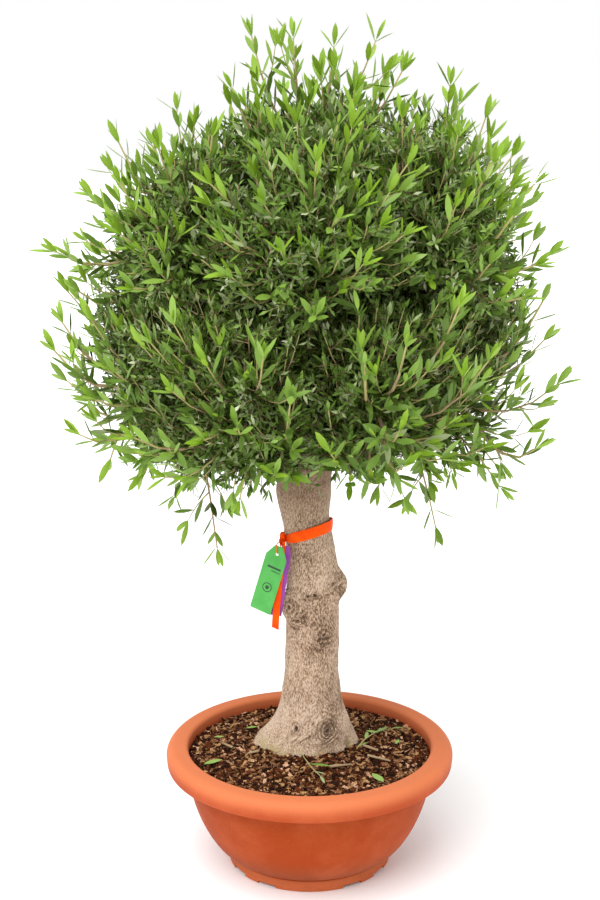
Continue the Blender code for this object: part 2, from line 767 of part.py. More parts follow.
def knot_centre():
    out = ribbon_radius(KNOT_BEARING) + RIBBON_THICKNESS + KNOT_SIZE[0] / 2 + GAP
    return trunk_centre(ribbon_height(KNOT_BEARING)) + out * level(KNOT_BEARING)


def make_knot(parts):
    """A soft lump on the band's left, a little taller than the band."""
    bpy.ops.mesh.primitive_cube_add(size=1)
    knot = bpy.context.object
    knot.name = "ribbon_knot"
    for old in list(knot.users_collection):
        old.objects.unlink(knot)
    parts.objects.link(knot)
    for vert in knot.data.vertices:
        vert.co = [c * size for c, size in zip(vert.co, KNOT_SIZE)]
    knot.location = knot_centre()
    knot.rotation_euler.z = math.radians(KNOT_BEARING)
    knot.data.materials.append(make_material("ribbon"))
    soft = knot.modifiers.new("Soft", "SUBSURF")
    soft.levels = soft.render_levels = 1
    soft.use_limit_surface = False  # the middle of each face stays on the size it was given


def make_tail(parts):
    """The ribbon's free end, which leaves the knot's front, hangs between the labels and is cut on a slant."""
    start = knot_centre() + Vector((TAIL_ACROSS, -(KNOT_SIZE[1] / 2 + RIBBON_THICKNESS + GAP), 0))
    hanging = Vector((start.x, TAIL_DEPTH, start.z - TAIL_DROP))
    points = [start, *bent(hanging, hanging + TAIL_LEAD, TAIL_END + 0.05 * UP, TAIL_END, 8)]
    sections = []
    for i, point in enumerate(points):
        half = TAIL_WIDTH / 2 * min(1.0, 0.35 + 0.11 * i)
        left, right = point - Vector((half, 0, 0)), point + Vector((half, 0, 0))
        if i == len(points) - 1:
            left += TAIL_CUT * UP
        deep = Vector((0, RIBBON_THICKNESS, 0))
        sections.append([left, right, right + deep, left + deep])
    add_object("ribbon_tail", loft("ribbon_tail", sections), parts, "ribbon")


def label_outline(width, length, point, shoulder, top):
    """A luggage-label outline, hanging down from its hole at the origin."""
    half = width / 2
    return [
        (-point, top), (point, top), (half, top - shoulder),
        (half, top - length), (-half, top - length), (-half, top - shoulder),
    ]


def make_label(name, parts):
    """A flat plastic label that hangs from its hole and leans out over the trunk's burl."""
    sizes, (lean, turn, middle, across, depth) = LABELS[name]
    curve = bpy.data.curves.new(name, "CURVE")
    curve.dimensions = "2D"
    curve.fill_mode = "BOTH"
    curve.extrude = LABEL_THICKNESS / 2
    hole = arc(0, 0, LABEL_HOLE_RADIUS, 0, 330, 11)
    for outline in (label_outline(*sizes), hole):
        spline = curve.splines.new("POLY")
        spline.points.add(len(outline) - 1)
        shift = 0 if outline is hole else middle
        for knot, (x, y) in zip(spline.points, outline):
            knot.co = (x + shift, y, 0, 1)
        spline.use_cyclic_u = True
    label = add_object(name, curve, parts, name)
    label.location = LABEL_HOLE + Vector((across, depth, 0))
    label.rotation_euler = (math.radians(90), math.radians(lean), -math.radians(turn))


def make_tie(parts):
    """A thin loop through both labels' holes, round to the knot and back over the labels' tops."""
    hung = LABEL_HOLE + (LABEL_HOLE_RADIUS - TIE_RADIUS - 2 * GAP) * UP
    threaded = [
        hung + Vector((across, depth + side * HOLE_REACH, 0))
        for _, (*_, across, depth) in LABELS.values() for side in (-1, 1)
    ]
    front, back = threaded[0].y, threaded[-1].y
    over = LABEL_HOLE + (max(sizes[-1] for sizes, _ in LABELS.values()) + TIE_REACH) * UP
    held = knot_centre() + (KNOT_SIZE[0] / 2 + TIE_RADIUS + GAP) * level(KNOT_BEARING)
    route = [*threaded, held, over + Vector((TIE_REACH, back, 0)), over + Vector((-TIE_TURN, front, 0))]
    rod("label_tie", route, [TIE_RADIUS] * len(route), parts, "ribbon", closed=True)


# ---- The whole ---------------------------------------------------------------

def main():
    clear_scene()
    parts = new_collection("potted_olive")
    cutters = new_collection("cutters")
    make_pot(parts, cutters)
    make_compost(parts)
    make_trunk(parts)
    masses, goals = crown_masses(), shoot_goals()
    for mass in masses:
        mass.route = bough_route(mass, *entry_point(mass))
    for mass in masses:
        make_bough(mass, parts)
        make_mass(mass, masses, goals, parts)
    make_band(parts)
    make_knot(parts)
    make_tail(parts)
    for name in LABELS:
        make_label(name, parts)
    make_tie(parts)


main()
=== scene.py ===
"""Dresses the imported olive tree: bark, twigs and leaves, compost, pot, ribbon and labels.

Metres, +Z up, -Y is the front, and the origin is the centre of the pot's underside.
"""

from __future__ import annotations

import itertools
import logging
import math
from dataclasses import dataclass, field
from enum import Enum
from random import Random
from typing import Iterator, Sequence

import bmesh
import bpy
import numpy as np
from mathutils import Matrix, Vector, geometry, noise


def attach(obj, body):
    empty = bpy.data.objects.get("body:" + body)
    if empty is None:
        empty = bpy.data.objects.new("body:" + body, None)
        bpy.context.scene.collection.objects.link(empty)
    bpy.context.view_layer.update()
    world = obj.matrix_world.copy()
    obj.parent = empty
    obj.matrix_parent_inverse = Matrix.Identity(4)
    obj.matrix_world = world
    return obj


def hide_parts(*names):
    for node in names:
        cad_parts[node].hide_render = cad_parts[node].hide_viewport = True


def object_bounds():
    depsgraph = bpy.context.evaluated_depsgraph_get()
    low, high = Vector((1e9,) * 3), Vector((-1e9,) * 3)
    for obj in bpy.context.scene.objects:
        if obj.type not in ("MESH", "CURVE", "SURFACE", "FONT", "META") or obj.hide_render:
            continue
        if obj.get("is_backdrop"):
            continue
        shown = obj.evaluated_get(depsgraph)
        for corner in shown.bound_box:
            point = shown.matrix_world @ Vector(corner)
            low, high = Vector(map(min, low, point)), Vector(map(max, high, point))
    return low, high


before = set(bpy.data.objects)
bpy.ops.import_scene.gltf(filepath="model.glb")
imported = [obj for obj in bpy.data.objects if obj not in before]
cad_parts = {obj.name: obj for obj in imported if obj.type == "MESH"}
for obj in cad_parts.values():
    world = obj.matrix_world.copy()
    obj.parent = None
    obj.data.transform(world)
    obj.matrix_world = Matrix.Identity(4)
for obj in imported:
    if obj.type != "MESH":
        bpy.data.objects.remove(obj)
cad_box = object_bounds()

LOG = logging.getLogger("potted_olive")
UP = Vector((0.0, 0.0, 1.0))
ROOT = "root"
SEED = 7
MOST_TRIANGLES = 190_000  # in one piece
STAIN_AND_SHADE = "stain"  # painted shade in the trunk's hollows, folds and under its seams, with the knots' own colour

Object, Mesh, Material = bpy.types.Object, bpy.types.Mesh, bpy.types.Material
Pair = tuple[float, float]
Three = tuple[float, float, float]
Four = tuple[float, float, float, float]
Colour = Four
Scar = tuple[Vector, float, float, float]  # its middle, radius, rings, and how clear they are


# ---- Colours and shader maths ----------------------------------------------------

def paint(red: float, green: float, blue: float) -> Colour:
    """A colour given as it looks on a screen, in the linear light that shaders use.

    Args:
        red: Red, from 0 to 255.
        green: Green, from 0 to 255.
        blue: Blue, from 0 to 255.

    Returns:
        The linear colour, opaque.
    """
    shares = (c / 255 for c in (red, green, blue))
    linear = [s / 12.92 if s <= 0.04045 else ((s + 0.055) / 1.055) ** 2.4 for s in shares]
    return (linear[0], linear[1], linear[2], 1.0)


@dataclass
class Wire:
    """An output socket that adds a Math node wherever it stands in a sum."""

    graph: Graph
    socket: bpy.types.NodeSocket

    def sum_with(self, operation: str, left: Wire | float, right: Wire | float) -> Wire:
        """Adds one Math node, and gives its output."""
        return self.graph.node("ShaderNodeMath", {"operation": operation}, {0: left, 1: right})

    def __add__(self, other: Wire | float) -> Wire:
        """This plus other."""
        return self.sum_with("ADD", self, other)

    __radd__ = __add__

    def __mul__(self, other: Wire | float) -> Wire:
        """This times other."""
        return self.sum_with("MULTIPLY", self, other)

    __rmul__ = __mul__

    def __sub__(self, other: Wire | float) -> Wire:
        """This less other."""
        return self.sum_with("SUBTRACT", self, other)

    def __rsub__(self, other: Wire | float) -> Wire:
        """Other less this."""
        return self.sum_with("SUBTRACT", other, self)

    def __truediv__(self, other: Wire | float) -> Wire:
        """This over other."""
        return self.sum_with("DIVIDE", self, other)

    def sine(self) -> Wire:
        """The sine of this, in radians."""
        return self.graph.node("ShaderNodeMath", {"operation": "SINE"}, {0: self})

    def over(self, low: float, high: float) -> Wire:
        """A smooth step: 0 at low and 1 at high, either of which may be the larger."""
        inputs = {"Value": self, "From Min": low, "From Max": high}
        return self.graph.node("ShaderNodeMapRange", {"interpolation_type": "SMOOTHSTEP"}, inputs)


class Graph:
    """A material's nodes, round one Principled shader."""

    def __init__(self, name: str) -> None:
        """Starts a material.

        Args:
            name: The material's name.
        """
        self.material = bpy.data.materials.new(name)
        self.material.use_nodes = True
        self.tree = self.material.node_tree
        self.shader = self.tree.nodes["Principled BSDF"]

    def node(
        self, kind: str, settings: dict | None = None, inputs: dict | None = None,
        out: str | int = 0,
    ) -> Wire:
        """Adds any node.

        Args:
            kind: The node's type.
            settings: Its properties; "stops" is a ramp's list of (position, colour).
            inputs: Values or wires for its sockets, by name or number.
            out: The output wanted.

        Returns:
            That output.
        """
        made = self.tree.nodes.new(kind)
        for name, value in (settings or {}).items():
            if name == "stops":
                ramp = made.color_ramp.elements
                while len(ramp) < len(value):
                    ramp.new(1.0)
                for stop, (position, colour) in zip(ramp, value):
                    stop.position, stop.color = position, colour
            else:
                setattr(made, name, value)
        for name, value in (inputs or {}).items():
            self.feed(made.inputs[name], value)
        return Wire(self, made.outputs[out])

    def feed(self, socket: bpy.types.NodeSocket, value: object) -> None:
        """Gives a socket its value, or links a wire to it.

        Args:
            socket: The socket.
            value: A wire, or a value of the socket's own type.
        """
        if isinstance(value, Wire):
            self.tree.links.new(value.socket, socket)
        else:
            socket.default_value = value

    def finish(self, **inputs: object) -> Material:
        """Feeds the Principled shader.

        Args:
            **inputs: Values or wires by socket name, with _ for a space.

        Returns:
            The finished material.
        """
        for name, value in inputs.items():
            socket = name.replace("_", " ").title().replace("Ior", "IOR")
            self.feed(self.shader.inputs[socket], value)
        return self.material

    def place(self, rise: float = 1.0) -> Wire:
        """The point on the object, in metres; a rise under 1 draws a pattern out upwards."""
        point = self.node("ShaderNodeTexCoord", out="Object")
        return self.node("ShaderNodeMapping", {}, {"Vector": point, "Scale": (1.0, 1.0, rise)})

    def height(self, at: Wire) -> Wire:
        """How high a point is."""
        return self.node("ShaderNodeSeparateXYZ", {}, {0: at}, "Z")

    def away(self, at: Wire, middle: Vector) -> Wire:
        """How far a point is from a middle."""
        off = self.node("ShaderNodeVectorMath", {"operation": "SUBTRACT"}, {0: at, 1: middle[:]})
        return self.node("ShaderNodeVectorMath", {"operation": "LENGTH"}, {0: off}, "Value")

    def noise(self, at: Wire, scale: float, detail: float, rough: float) -> Wire:
        """A noise pattern: about scale lumps a metre, and detail finer layers, rough or faint."""
        inputs = {"Vector": at, "Scale": scale, "Detail": detail, "Roughness": rough}
        return self.node("ShaderNodeTexNoise", {}, inputs, "Fac")

    def cells(self, at: Wire, scale: float) -> Wire:
        """How far a point is from its cell's middle, with scale cells a metre."""
        return self.node("ShaderNodeTexVoronoi", {}, {"Vector": at, "Scale": scale}, "Distance")

    def blend(self, share: Wire | float, first: Wire | Colour, second: Wire | Colour) -> Wire:
        """A colour between two: the first where the share is 0, the second where it is 1."""
        return self.node("ShaderNodeMix", {"data_type": "RGBA"}, {0: share, 6: first, 7: second}, 2)

    def layers(self, colour: Wire | Colour, *over: tuple[Wire, Colour]) -> Wire | Colour:
        """Lays colours over another.

        Args:
            colour: What lies under them.
            *over: How much of each shows, and its colour, in order.

        Returns:
            The colour.
        """
        for share, above in over:
            colour = self.blend(share, colour, above)
        return colour

    def ramp(self, share: Wire, *stops: tuple[float, Colour]) -> Wire:
        """A colour from a row of stops, each a position and its colour."""
        return self.node("ShaderNodeValToRGB", {"stops": stops}, {0: share})

    def bump(self, height: Wire, depth: float, strength: float) -> Wire:
        """A relief, its depth in metres, to feed Normal."""
        inputs = {"Height": height, "Distance": depth, "Strength": strength}
        return self.node("ShaderNodeBump", {}, inputs)


# ---- Finishes --------------------------------------------------------------------

@dataclass(frozen=True)
class PlainFinish:
    """A plain colour with a set gloss, for leaves and twigs, whose colour is dealt out by spray."""

    name: str
    colour: Colour
    roughness: float
    specular: float = 0.5

    def material(self) -> Material:
        """The material."""
        plain = {"base_color": self.colour, "roughness": self.roughness}
        return Graph(self.name).finish(**plain, specular_ior_level=self.specular)


@dataclass(frozen=True)
class BarkFinish:
    """Corky bark: pale grey-tan grains with dark flecks, painted shade under the crown, painted
    light at the foot.

    Each pair of heights is where a change begins and where it is whole.
    """

    name: str = "olive_bark"
    pale: Colour = paint(214, 190, 167)
    tan: Colour = paint(176, 147, 120)
    brown: Colour = paint(112, 86, 64)
    dark: Colour = paint(52, 38, 28)
    moss: Colour = paint(146, 134, 66)
    scar_tone: Colour = paint(98, 72, 50)
    crown_shade: Pair = (0.66, 0.84)
    painted_light_foot: Pair = (0.350, 0.300)
    mossy_foot: Pair = (0.292, 0.240)
    scar_edge: Pair = (1.22, 0.55)
    scar_core: Pair = (0.30, 0.08)
    depth: float = 0.0018
    scars: tuple[Scar, ...] = ()

    def scar(self, graph: Graph, at: Wire, swirl: Wire, which: Scar) -> tuple[Wire, ...]:
        """Rings of bark healed round a cut.

        Args:
            graph: The material's nodes.
            at: The point on the object.
            swirl: What makes the rings uneven.
            which: The scar.

        Returns:
            How brown the bark is there, how dark its middle is, and the rings' relief.
        """
        middle, radius, rings, clear = which
        away = graph.away(at, middle) / radius
        fade = away.over(*self.scar_edge)
        lines = ((away + swirl) * (rings * math.tau)).sine()
        brown = fade * (lines.over(-0.1, 0.9) * 0.80 + 0.08) * clear
        return brown, away.over(*self.scar_core) * clear * 0.7, fade * lines * clear

    def material(self) -> Material:
        """Mixes the bark.

        Returns:
            The material.
        """
        graph = Graph(self.name)
        at = graph.place()
        height = graph.height(at)
        grain = graph.noise(graph.place(0.40), scale=400.0, detail=5.0, rough=0.74)
        flecks = graph.noise(graph.place(0.30), scale=560.0, detail=3.0, rough=0.6)
        patches = graph.noise(at, scale=14.0, detail=3.0, rough=0.55)
        swirl = (graph.noise(at, scale=60.0, detail=3.0, rough=0.6) - 0.5) * 0.34
        # the trunk's painted shade in hollows, folds and under seams, with its knots' own colour
        stain = graph.node("ShaderNodeAttribute", {"attribute_name": STAIN_AND_SHADE}, {}, "Fac")
        moss = height.over(*self.mossy_foot) * patches.over(0.48, 0.66)
        # painted light: the bark paler at the foot
        tone = grain + (patches - 0.5) * 0.30 - stain * 0.16 + height.over(*self.painted_light_foot) * 0.075
        colour = graph.layers(
            graph.ramp(
                tone, (0.29, self.dark), (0.40, self.brown), (0.49, self.tan), (0.60, self.pale)
            ),
            (flecks.over(0.42, 0.30) * 0.70, self.brown),
            # painted shade: browner under the crown
            (height.over(*self.crown_shade) * 0.66, self.brown),
            (stain.over(0.45, 1.0) * 0.75, self.dark),
            (moss * 0.6, self.moss),
        )
        relief = grain * 0.8 + flecks * 0.4
        for which in self.scars:
            brown, core, rings = self.scar(graph, at, swirl, which)
            colour = graph.layers(colour, (brown, self.scar_tone), (core, self.dark))
            relief = relief - rings * 0.5
        normal = graph.bump(relief, self.depth, 0.8)
        return graph.finish(base_color=colour, roughness=0.90, normal=normal)


@dataclass(frozen=True)
class CompostFinish:
    """Dark moist compost with finer lighter crumbs."""

    name: str = "dark_compost"
    dark: Colour = paint(34, 14, 4)
    middle: Colour = paint(82, 42, 20)
    crumb: Colour = paint(144, 94, 56)
    depth: float = 0.004

    def material(self) -> Material:
        """Mixes the compost.

        Returns:
            The material.
        """
        graph = Graph(self.name)
        at = graph.place()
        crumbs = graph.cells(at, scale=240.0)
        clods = graph.noise(at, scale=90.0, detail=5.0, rough=0.7)
        colour = graph.ramp(clods, (0.32, self.dark), (0.52, self.middle), (0.72, self.crumb))
        relief = graph.bump(clods + (1.0 - crumbs) * 0.6, self.depth, 0.9)
        dull = {"roughness": 0.95, "specular_ior_level": 0.1}
        return graph.finish(base_color=colour, normal=relief, **dull)


@dataclass(frozen=True)
class ChipFinish:
    """A wood or bark chip: one tone with a fibrous grain."""

    name: str
    colour: Colour
    shade: Colour
    depth: float = 0.0012

    def material(self) -> Material:
        """Mixes the chip's wood.

        Returns:
            The material.
        """
        graph = Graph(self.name)
        grain = graph.noise(graph.place(), scale=420.0, detail=4.0, rough=0.65)
        colour = graph.blend(grain.over(0.35, 0.65), self.shade, self.colour)
        relief = graph.bump(grain, self.depth, 0.8)
        dull = {"roughness": 0.92, "specular_ior_level": 0.12}
        return graph.finish(base_color=colour, normal=relief, **dull)


@dataclass(frozen=True)
class PotFinish:
    """Moulded plastic in terracotta: fine mottling, a satin skin, dust and scuffs near the foot;
    painted light on the rim and foot ring, painted shade low on the rim, under it and above the
    foot.

    Each pair of heights is where a change begins and where it is whole.
    """

    name: str = "terracotta_plastic"
    # painted light: the rim is a lit copy of the clay colour
    rim: Colour = paint(206, 116, 74)
    rim_painted_shade: Colour = paint(168, 66, 30)
    clay: Colour = paint(159, 62, 19)
    # painted shadow under the rim
    under_rim: Colour = paint(124, 46, 16)
    light: Colour = paint(226, 128, 84)
    # real dust and dark specks, and the painted shade above the foot
    dust_and_shade: Colour = paint(134, 78, 52)
    rim_from: Pair = (0.2138, 0.2150)
    rim_shade_heights: Pair = (0.255, 0.219)
    under_rim_shadow_heights: Pair = (0.193, 0.213)
    lit_foot_ring: Pair = (0.026, 0.020)
    foot_shade: Pair = (0.097, 0.036)
    shade_ends: Pair = (0.024, 0.030)
    scuffed: Pair = (0.060, 0.0)
    depth: float = 0.0004

    def material(self) -> Material:
        """Mixes the plastic.

        Returns:
            The material.
        """
        graph = Graph(self.name)
        at = graph.place()
        height = graph.height(at)
        cloud = graph.noise(at, scale=7.0, detail=4.0, rough=0.6)
        specks = graph.noise(at, scale=560.0, detail=2.0, rough=0.5)
        scuffs = graph.noise(graph.place(3.0), scale=40.0, detail=5.0, rough=0.7)
        grime = height.over(*self.scuffed) * scuffs.over(0.45, 0.80) * 0.45
        shade = height.over(*self.foot_shade) * height.over(*self.shade_ends)
        # painted shade darkens the rim towards its lower edge
        rim = graph.blend(height.over(*self.rim_shade_heights) * 0.92, self.rim, self.rim_painted_shade)
        # painted shadow on the bowl under the rim
        bowl = graph.blend(height.over(*self.under_rim_shadow_heights) * 0.55, self.clay, self.under_rim)
        colour = graph.layers(
            # the lit rim over the bowl's clay: painted light
            graph.blend(height.over(*self.rim_from), bowl, rim),
            # painted light on the foot ring
            (height.over(*self.lit_foot_ring) * 0.6, self.rim),
            # painted shade above the foot ring
            (shade * 0.45, self.dust_and_shade),
            (cloud.over(0.42, 0.75) * 0.22, self.light),
            (specks.over(0.62, 0.74) * 0.35, self.light),
            (specks.over(0.38, 0.27) * 0.35, self.dust_and_shade),
            (grime, self.dust_and_shade),
        )
        relief = graph.bump(specks * 0.6 + scuffs * 0.4, self.depth, 0.3)
        satin = {"roughness": 0.52 + cloud * 0.12 + grime * 0.3, "specular_ior_level": 0.08}
        return graph.finish(base_color=colour, normal=relief, **satin)


@dataclass(frozen=True)
class RibbonFinish:
    """Satin ribbon, with its fine ribs across."""

    name: str = "orange_ribbon"
    colour: Colour = paint(255, 92, 0)
    fold: Colour = paint(246, 74, 0)
    depth: float = 0.0005

    def material(self) -> Material:
        """Mixes the satin.

        Returns:
            The material.
        """
        graph = Graph(self.name)
        ribs = graph.noise(graph.place(0.08), scale=900.0, detail=1.0, rough=0.4)
        soft = graph.noise(graph.place(), scale=45.0, detail=2.0, rough=0.5)
        colour = graph.blend(soft.over(0.3, 0.7), self.fold, self.colour)
        relief = graph.bump(ribs * 0.5 + soft, self.depth, 0.5)
        satin = {"roughness": 0.46 + soft * 0.12, "specular_ior_level": 0.08}
        return graph.finish(base_color=colour, normal=relief, **satin)


@dataclass(frozen=True)
class LabelFinish:
    """Card-thin coloured plastic, faintly clouded and grained."""

    name: str
    colour: Colour
    cloud: Colour
    depth: float = 0.0002

    def material(self) -> Material:
        """Mixes the plastic.

        Returns:
            The material.
        """
        graph = Graph(self.name)
        soft = graph.noise(graph.place(), scale=30.0, detail=3.0, rough=0.5)
        grain = graph.noise(graph.place(), scale=1100.0, detail=1.0, rough=0.5)
        colour = graph.blend(soft.over(0.35, 0.70), self.colour, self.cloud)
        relief = graph.bump(grain, self.depth, 0.4)
        satin = {"roughness": 0.40 + soft * 0.15, "specular_ior_level": 0.12}
        return graph.finish(base_color=colour, normal=relief, **satin)


class LeafTone(Enum):
    """The tones that leaves are dealt: fresh at a tip, older further down, and painted shade
    inside.
    """

    FRESH = PlainFinish("leaf_fresh", paint(136, 172, 46), 0.44, 0.42)
    BRIGHT = PlainFinish("leaf_bright", paint(132, 166, 66), 0.42, 0.45)
    GREEN = PlainFinish("leaf_green", paint(114, 146, 60), 0.44, 0.35)
    MATURE = PlainFinish("leaf_mature", paint(96, 124, 48), 0.44, 0.35)
    # GREY: grey-green undersides, and on small leaves painted glints too
    GREY = PlainFinish("leaf_grey", paint(148, 162, 112), 0.52, 0.4)
    DEEP = PlainFinish("leaf_deep", paint(74, 94, 30), 0.46, 0.3)
    # INNER and SHADE: darker copies that paint the shade deep in the crown
    INNER = PlainFinish("leaf_inner", paint(56, 73, 18), 0.48, 0.25)
    SHADE = PlainFinish("leaf_shade", paint(38, 50, 9), 0.50, 0.2)
    # PALE: painted glints on small leaves
    PALE = PlainFinish("leaf_pale", paint(204, 212, 172), 0.55, 0.4)


class WoodTone(Enum):
    """The tones of twigs: pale green-tan near a tip, brown further in."""

    YOUNG = PlainFinish("twig_young", paint(172, 160, 104), 0.60, 0.3)
    TAN = PlainFinish("twig_tan", paint(170, 144, 110), 0.75, 0.3)
    OLD = PlainFinish("twig_old", paint(122, 96, 70), 0.85, 0.2)


def materials(tones: type[Enum]) -> list[Material]:
    """A material for each tone, in order."""
    return [tone.value.material() for tone in tones]


# ---- Meshes ----------------------------------------------------------------------

def new_object(name: str, data: bpy.types.ID, *finishes: Material) -> Object:
    """Puts a mesh or curve in the scene.

    Args:
        name: The object's name.
        data: Its mesh or curve.
        *finishes: Materials for its slots.

    Returns:
        The object.
    """
    made = bpy.data.objects.new(name, data)
    bpy.context.scene.collection.objects.link(made)
    for finish in finishes:
        data.materials.append(finish)
    return made


def dress(piece: Object, slot: str, *nodes: str) -> None:
    """Makes a piece part of the tree.

    Args:
        piece: The piece.
        slot: Not used.
        *nodes: The CAD nodes that it stands for.
    """
    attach(piece, ROOT)
    if nodes:
        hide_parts(*nodes)
    LOG.info("%s: %d faces", piece.name, len(piece.data.polygons))


def soften(mesh: Mesh, degrees: float = 35.0) -> Mesh:
    """Shades a mesh smooth, but for edges sharper than an angle.

    Args:
        mesh: The mesh.
        degrees: The angle.

    Returns:
        The same mesh.
    """
    mesh.shade_smooth()
    mesh.set_sharp_from_angle(angle=math.radians(degrees))
    return mesh


def triangle_mesh(name: str, points: np.ndarray, triangles: np.ndarray, slots: np.ndarray) -> Mesh:
    """A mesh made straight from arrays.

    Args:
        name: The mesh's name.
        points: One row of three coordinates for each vertex.
        triangles: One row of three vertex numbers for each face.
        slots: Each face's material slot.

    Returns:
        The mesh, shaded smooth.
    """
    mesh = bpy.data.meshes.new(name)
    mesh.vertices.add(len(points))
    mesh.vertices.foreach_set("co", points.astype(np.float32).ravel())
    mesh.loops.add(3 * len(triangles))
    mesh.loops.foreach_set("vertex_index", triangles.astype(np.int32).ravel())
    mesh.polygons.add(len(triangles))
    starts = np.arange(0, 3 * len(triangles), 3, dtype=np.int32)
    mesh.polygons.foreach_set("loop_start", starts)
    mesh.polygons.foreach_set("material_index", slots.astype(np.int32))
    mesh.update(calc_edges=True)
    mesh.validate()
    mesh.shade_smooth()
    return mesh


def sheet_grid(rows: Sequence[Sequence[Sequence[float]]]) -> tuple[list, list]:
    """Points and faces of a grid.

    Args:
        rows: Rows with as many points each, which close on themselves.

    Returns:
        The points, and faces of four.
    """
    wide = len(rows[0])
    points = [tuple(point) for row in rows for point in row]
    faces = []
    for i, j in itertools.product(range(len(rows) - 1), range(wide)):
        k = (j + 1) % wide
        low, high = i * wide, (i + 1) * wide
        faces.append((low + j, low + k, high + k, high + j))
    return points, faces


def grid_mesh(name: str, rows: Sequence, capped: bool = False) -> Mesh:
    """A mesh of a grid whose rows close on themselves.

    Args:
        name: The mesh's name.
        rows: Rows with as many points each.
        capped: Whether the first and last rows are closed with a face each.

    Returns:
        The mesh, its faces turned outwards where it is capped.
    """
    points, faces = sheet_grid(rows)
    if capped:
        wide = len(rows[0])
        faces += [tuple(range(wide))[::-1], tuple(range(len(points) - wide, len(points)))]
    mesh = bpy.data.meshes.new(name)
    mesh.from_pydata(points, [], faces)
    if capped:
        bm = bmesh.new()
        bm.from_mesh(mesh)
        bmesh.ops.recalc_face_normals(bm, faces=bm.faces)
        bm.to_mesh(mesh)
        bm.free()
    return mesh


def shaped_mesh(made: Object) -> Mesh:
    """The mesh that an object's curve or modifiers make.

    Args:
        made: The object, which is taken away.

    Returns:
        The mesh, with no materials.
    """
    shaped = made.evaluated_get(bpy.context.evaluated_depsgraph_get())
    mesh = bpy.data.meshes.new_from_object(shaped)
    mesh.materials.clear()
    bpy.data.objects.remove(made, do_unlink=True)
    return mesh


def level(bearing: float, rise: float = 0.0) -> Vector:
    """The unit vector at a bearing from the right, towards the back, and a rise above level.

    Args:
        bearing: The bearing in degrees.
        rise: The rise in degrees.

    Returns:
        The vector.
    """
    across, up = math.cos(math.radians(rise)), math.sin(math.radians(rise))
    turn = math.radians(bearing)
    return Vector((across * math.cos(turn), across * math.sin(turn), up))


def off_by(bearing: float, other: float) -> float:
    """How far a bearing is past another, from -180 to 180 degrees."""
    return (bearing - other + 180) % 360 - 180


def arc(middle: Pair, size: float, start: float, end: float, steps: int) -> list[Pair]:
    """Points of an arc round a middle, from one angle to another in degrees."""
    angles = [math.radians(start + (end - start) * i / steps) for i in range(steps + 1)]
    return [(middle[0] + size * math.cos(a), middle[1] + size * math.sin(a)) for a in angles]


@dataclass
class Stock:
    """Many small shapes of one kind, held as arrays until they are joined into one piece."""

    name: str
    finishes: list[Material]
    points: list[np.ndarray] = field(default_factory=list)
    triangles: list[np.ndarray] = field(default_factory=list)
    slots: list[np.ndarray] = field(default_factory=list)
    count: int = 0

    def add(self, points: np.ndarray, triangles: np.ndarray, slots: np.ndarray) -> None:
        """Adds shapes.

        Args:
            points: Their vertices.
            triangles: Their faces, numbered from 0.
            slots: Each face's material slot.
        """
        self.points.append(points)
        self.triangles.append(triangles + self.count)
        self.slots.append(slots)
        self.count += len(points)

    def piece(self) -> Object:
        """Joins everything added.

        Returns:
            One object of it.
        """
        points, triangles, slots = map(np.concatenate, (self.points, self.triangles, self.slots))
        if len(triangles) > MOST_TRIANGLES:
            raise ValueError(f"{self.name} has {len(triangles)} triangles")
        mesh = triangle_mesh(self.name, points, triangles, slots)
        return new_object(self.name, mesh, *self.finishes)


# ---- Pot and compost -------------------------------------------------------------

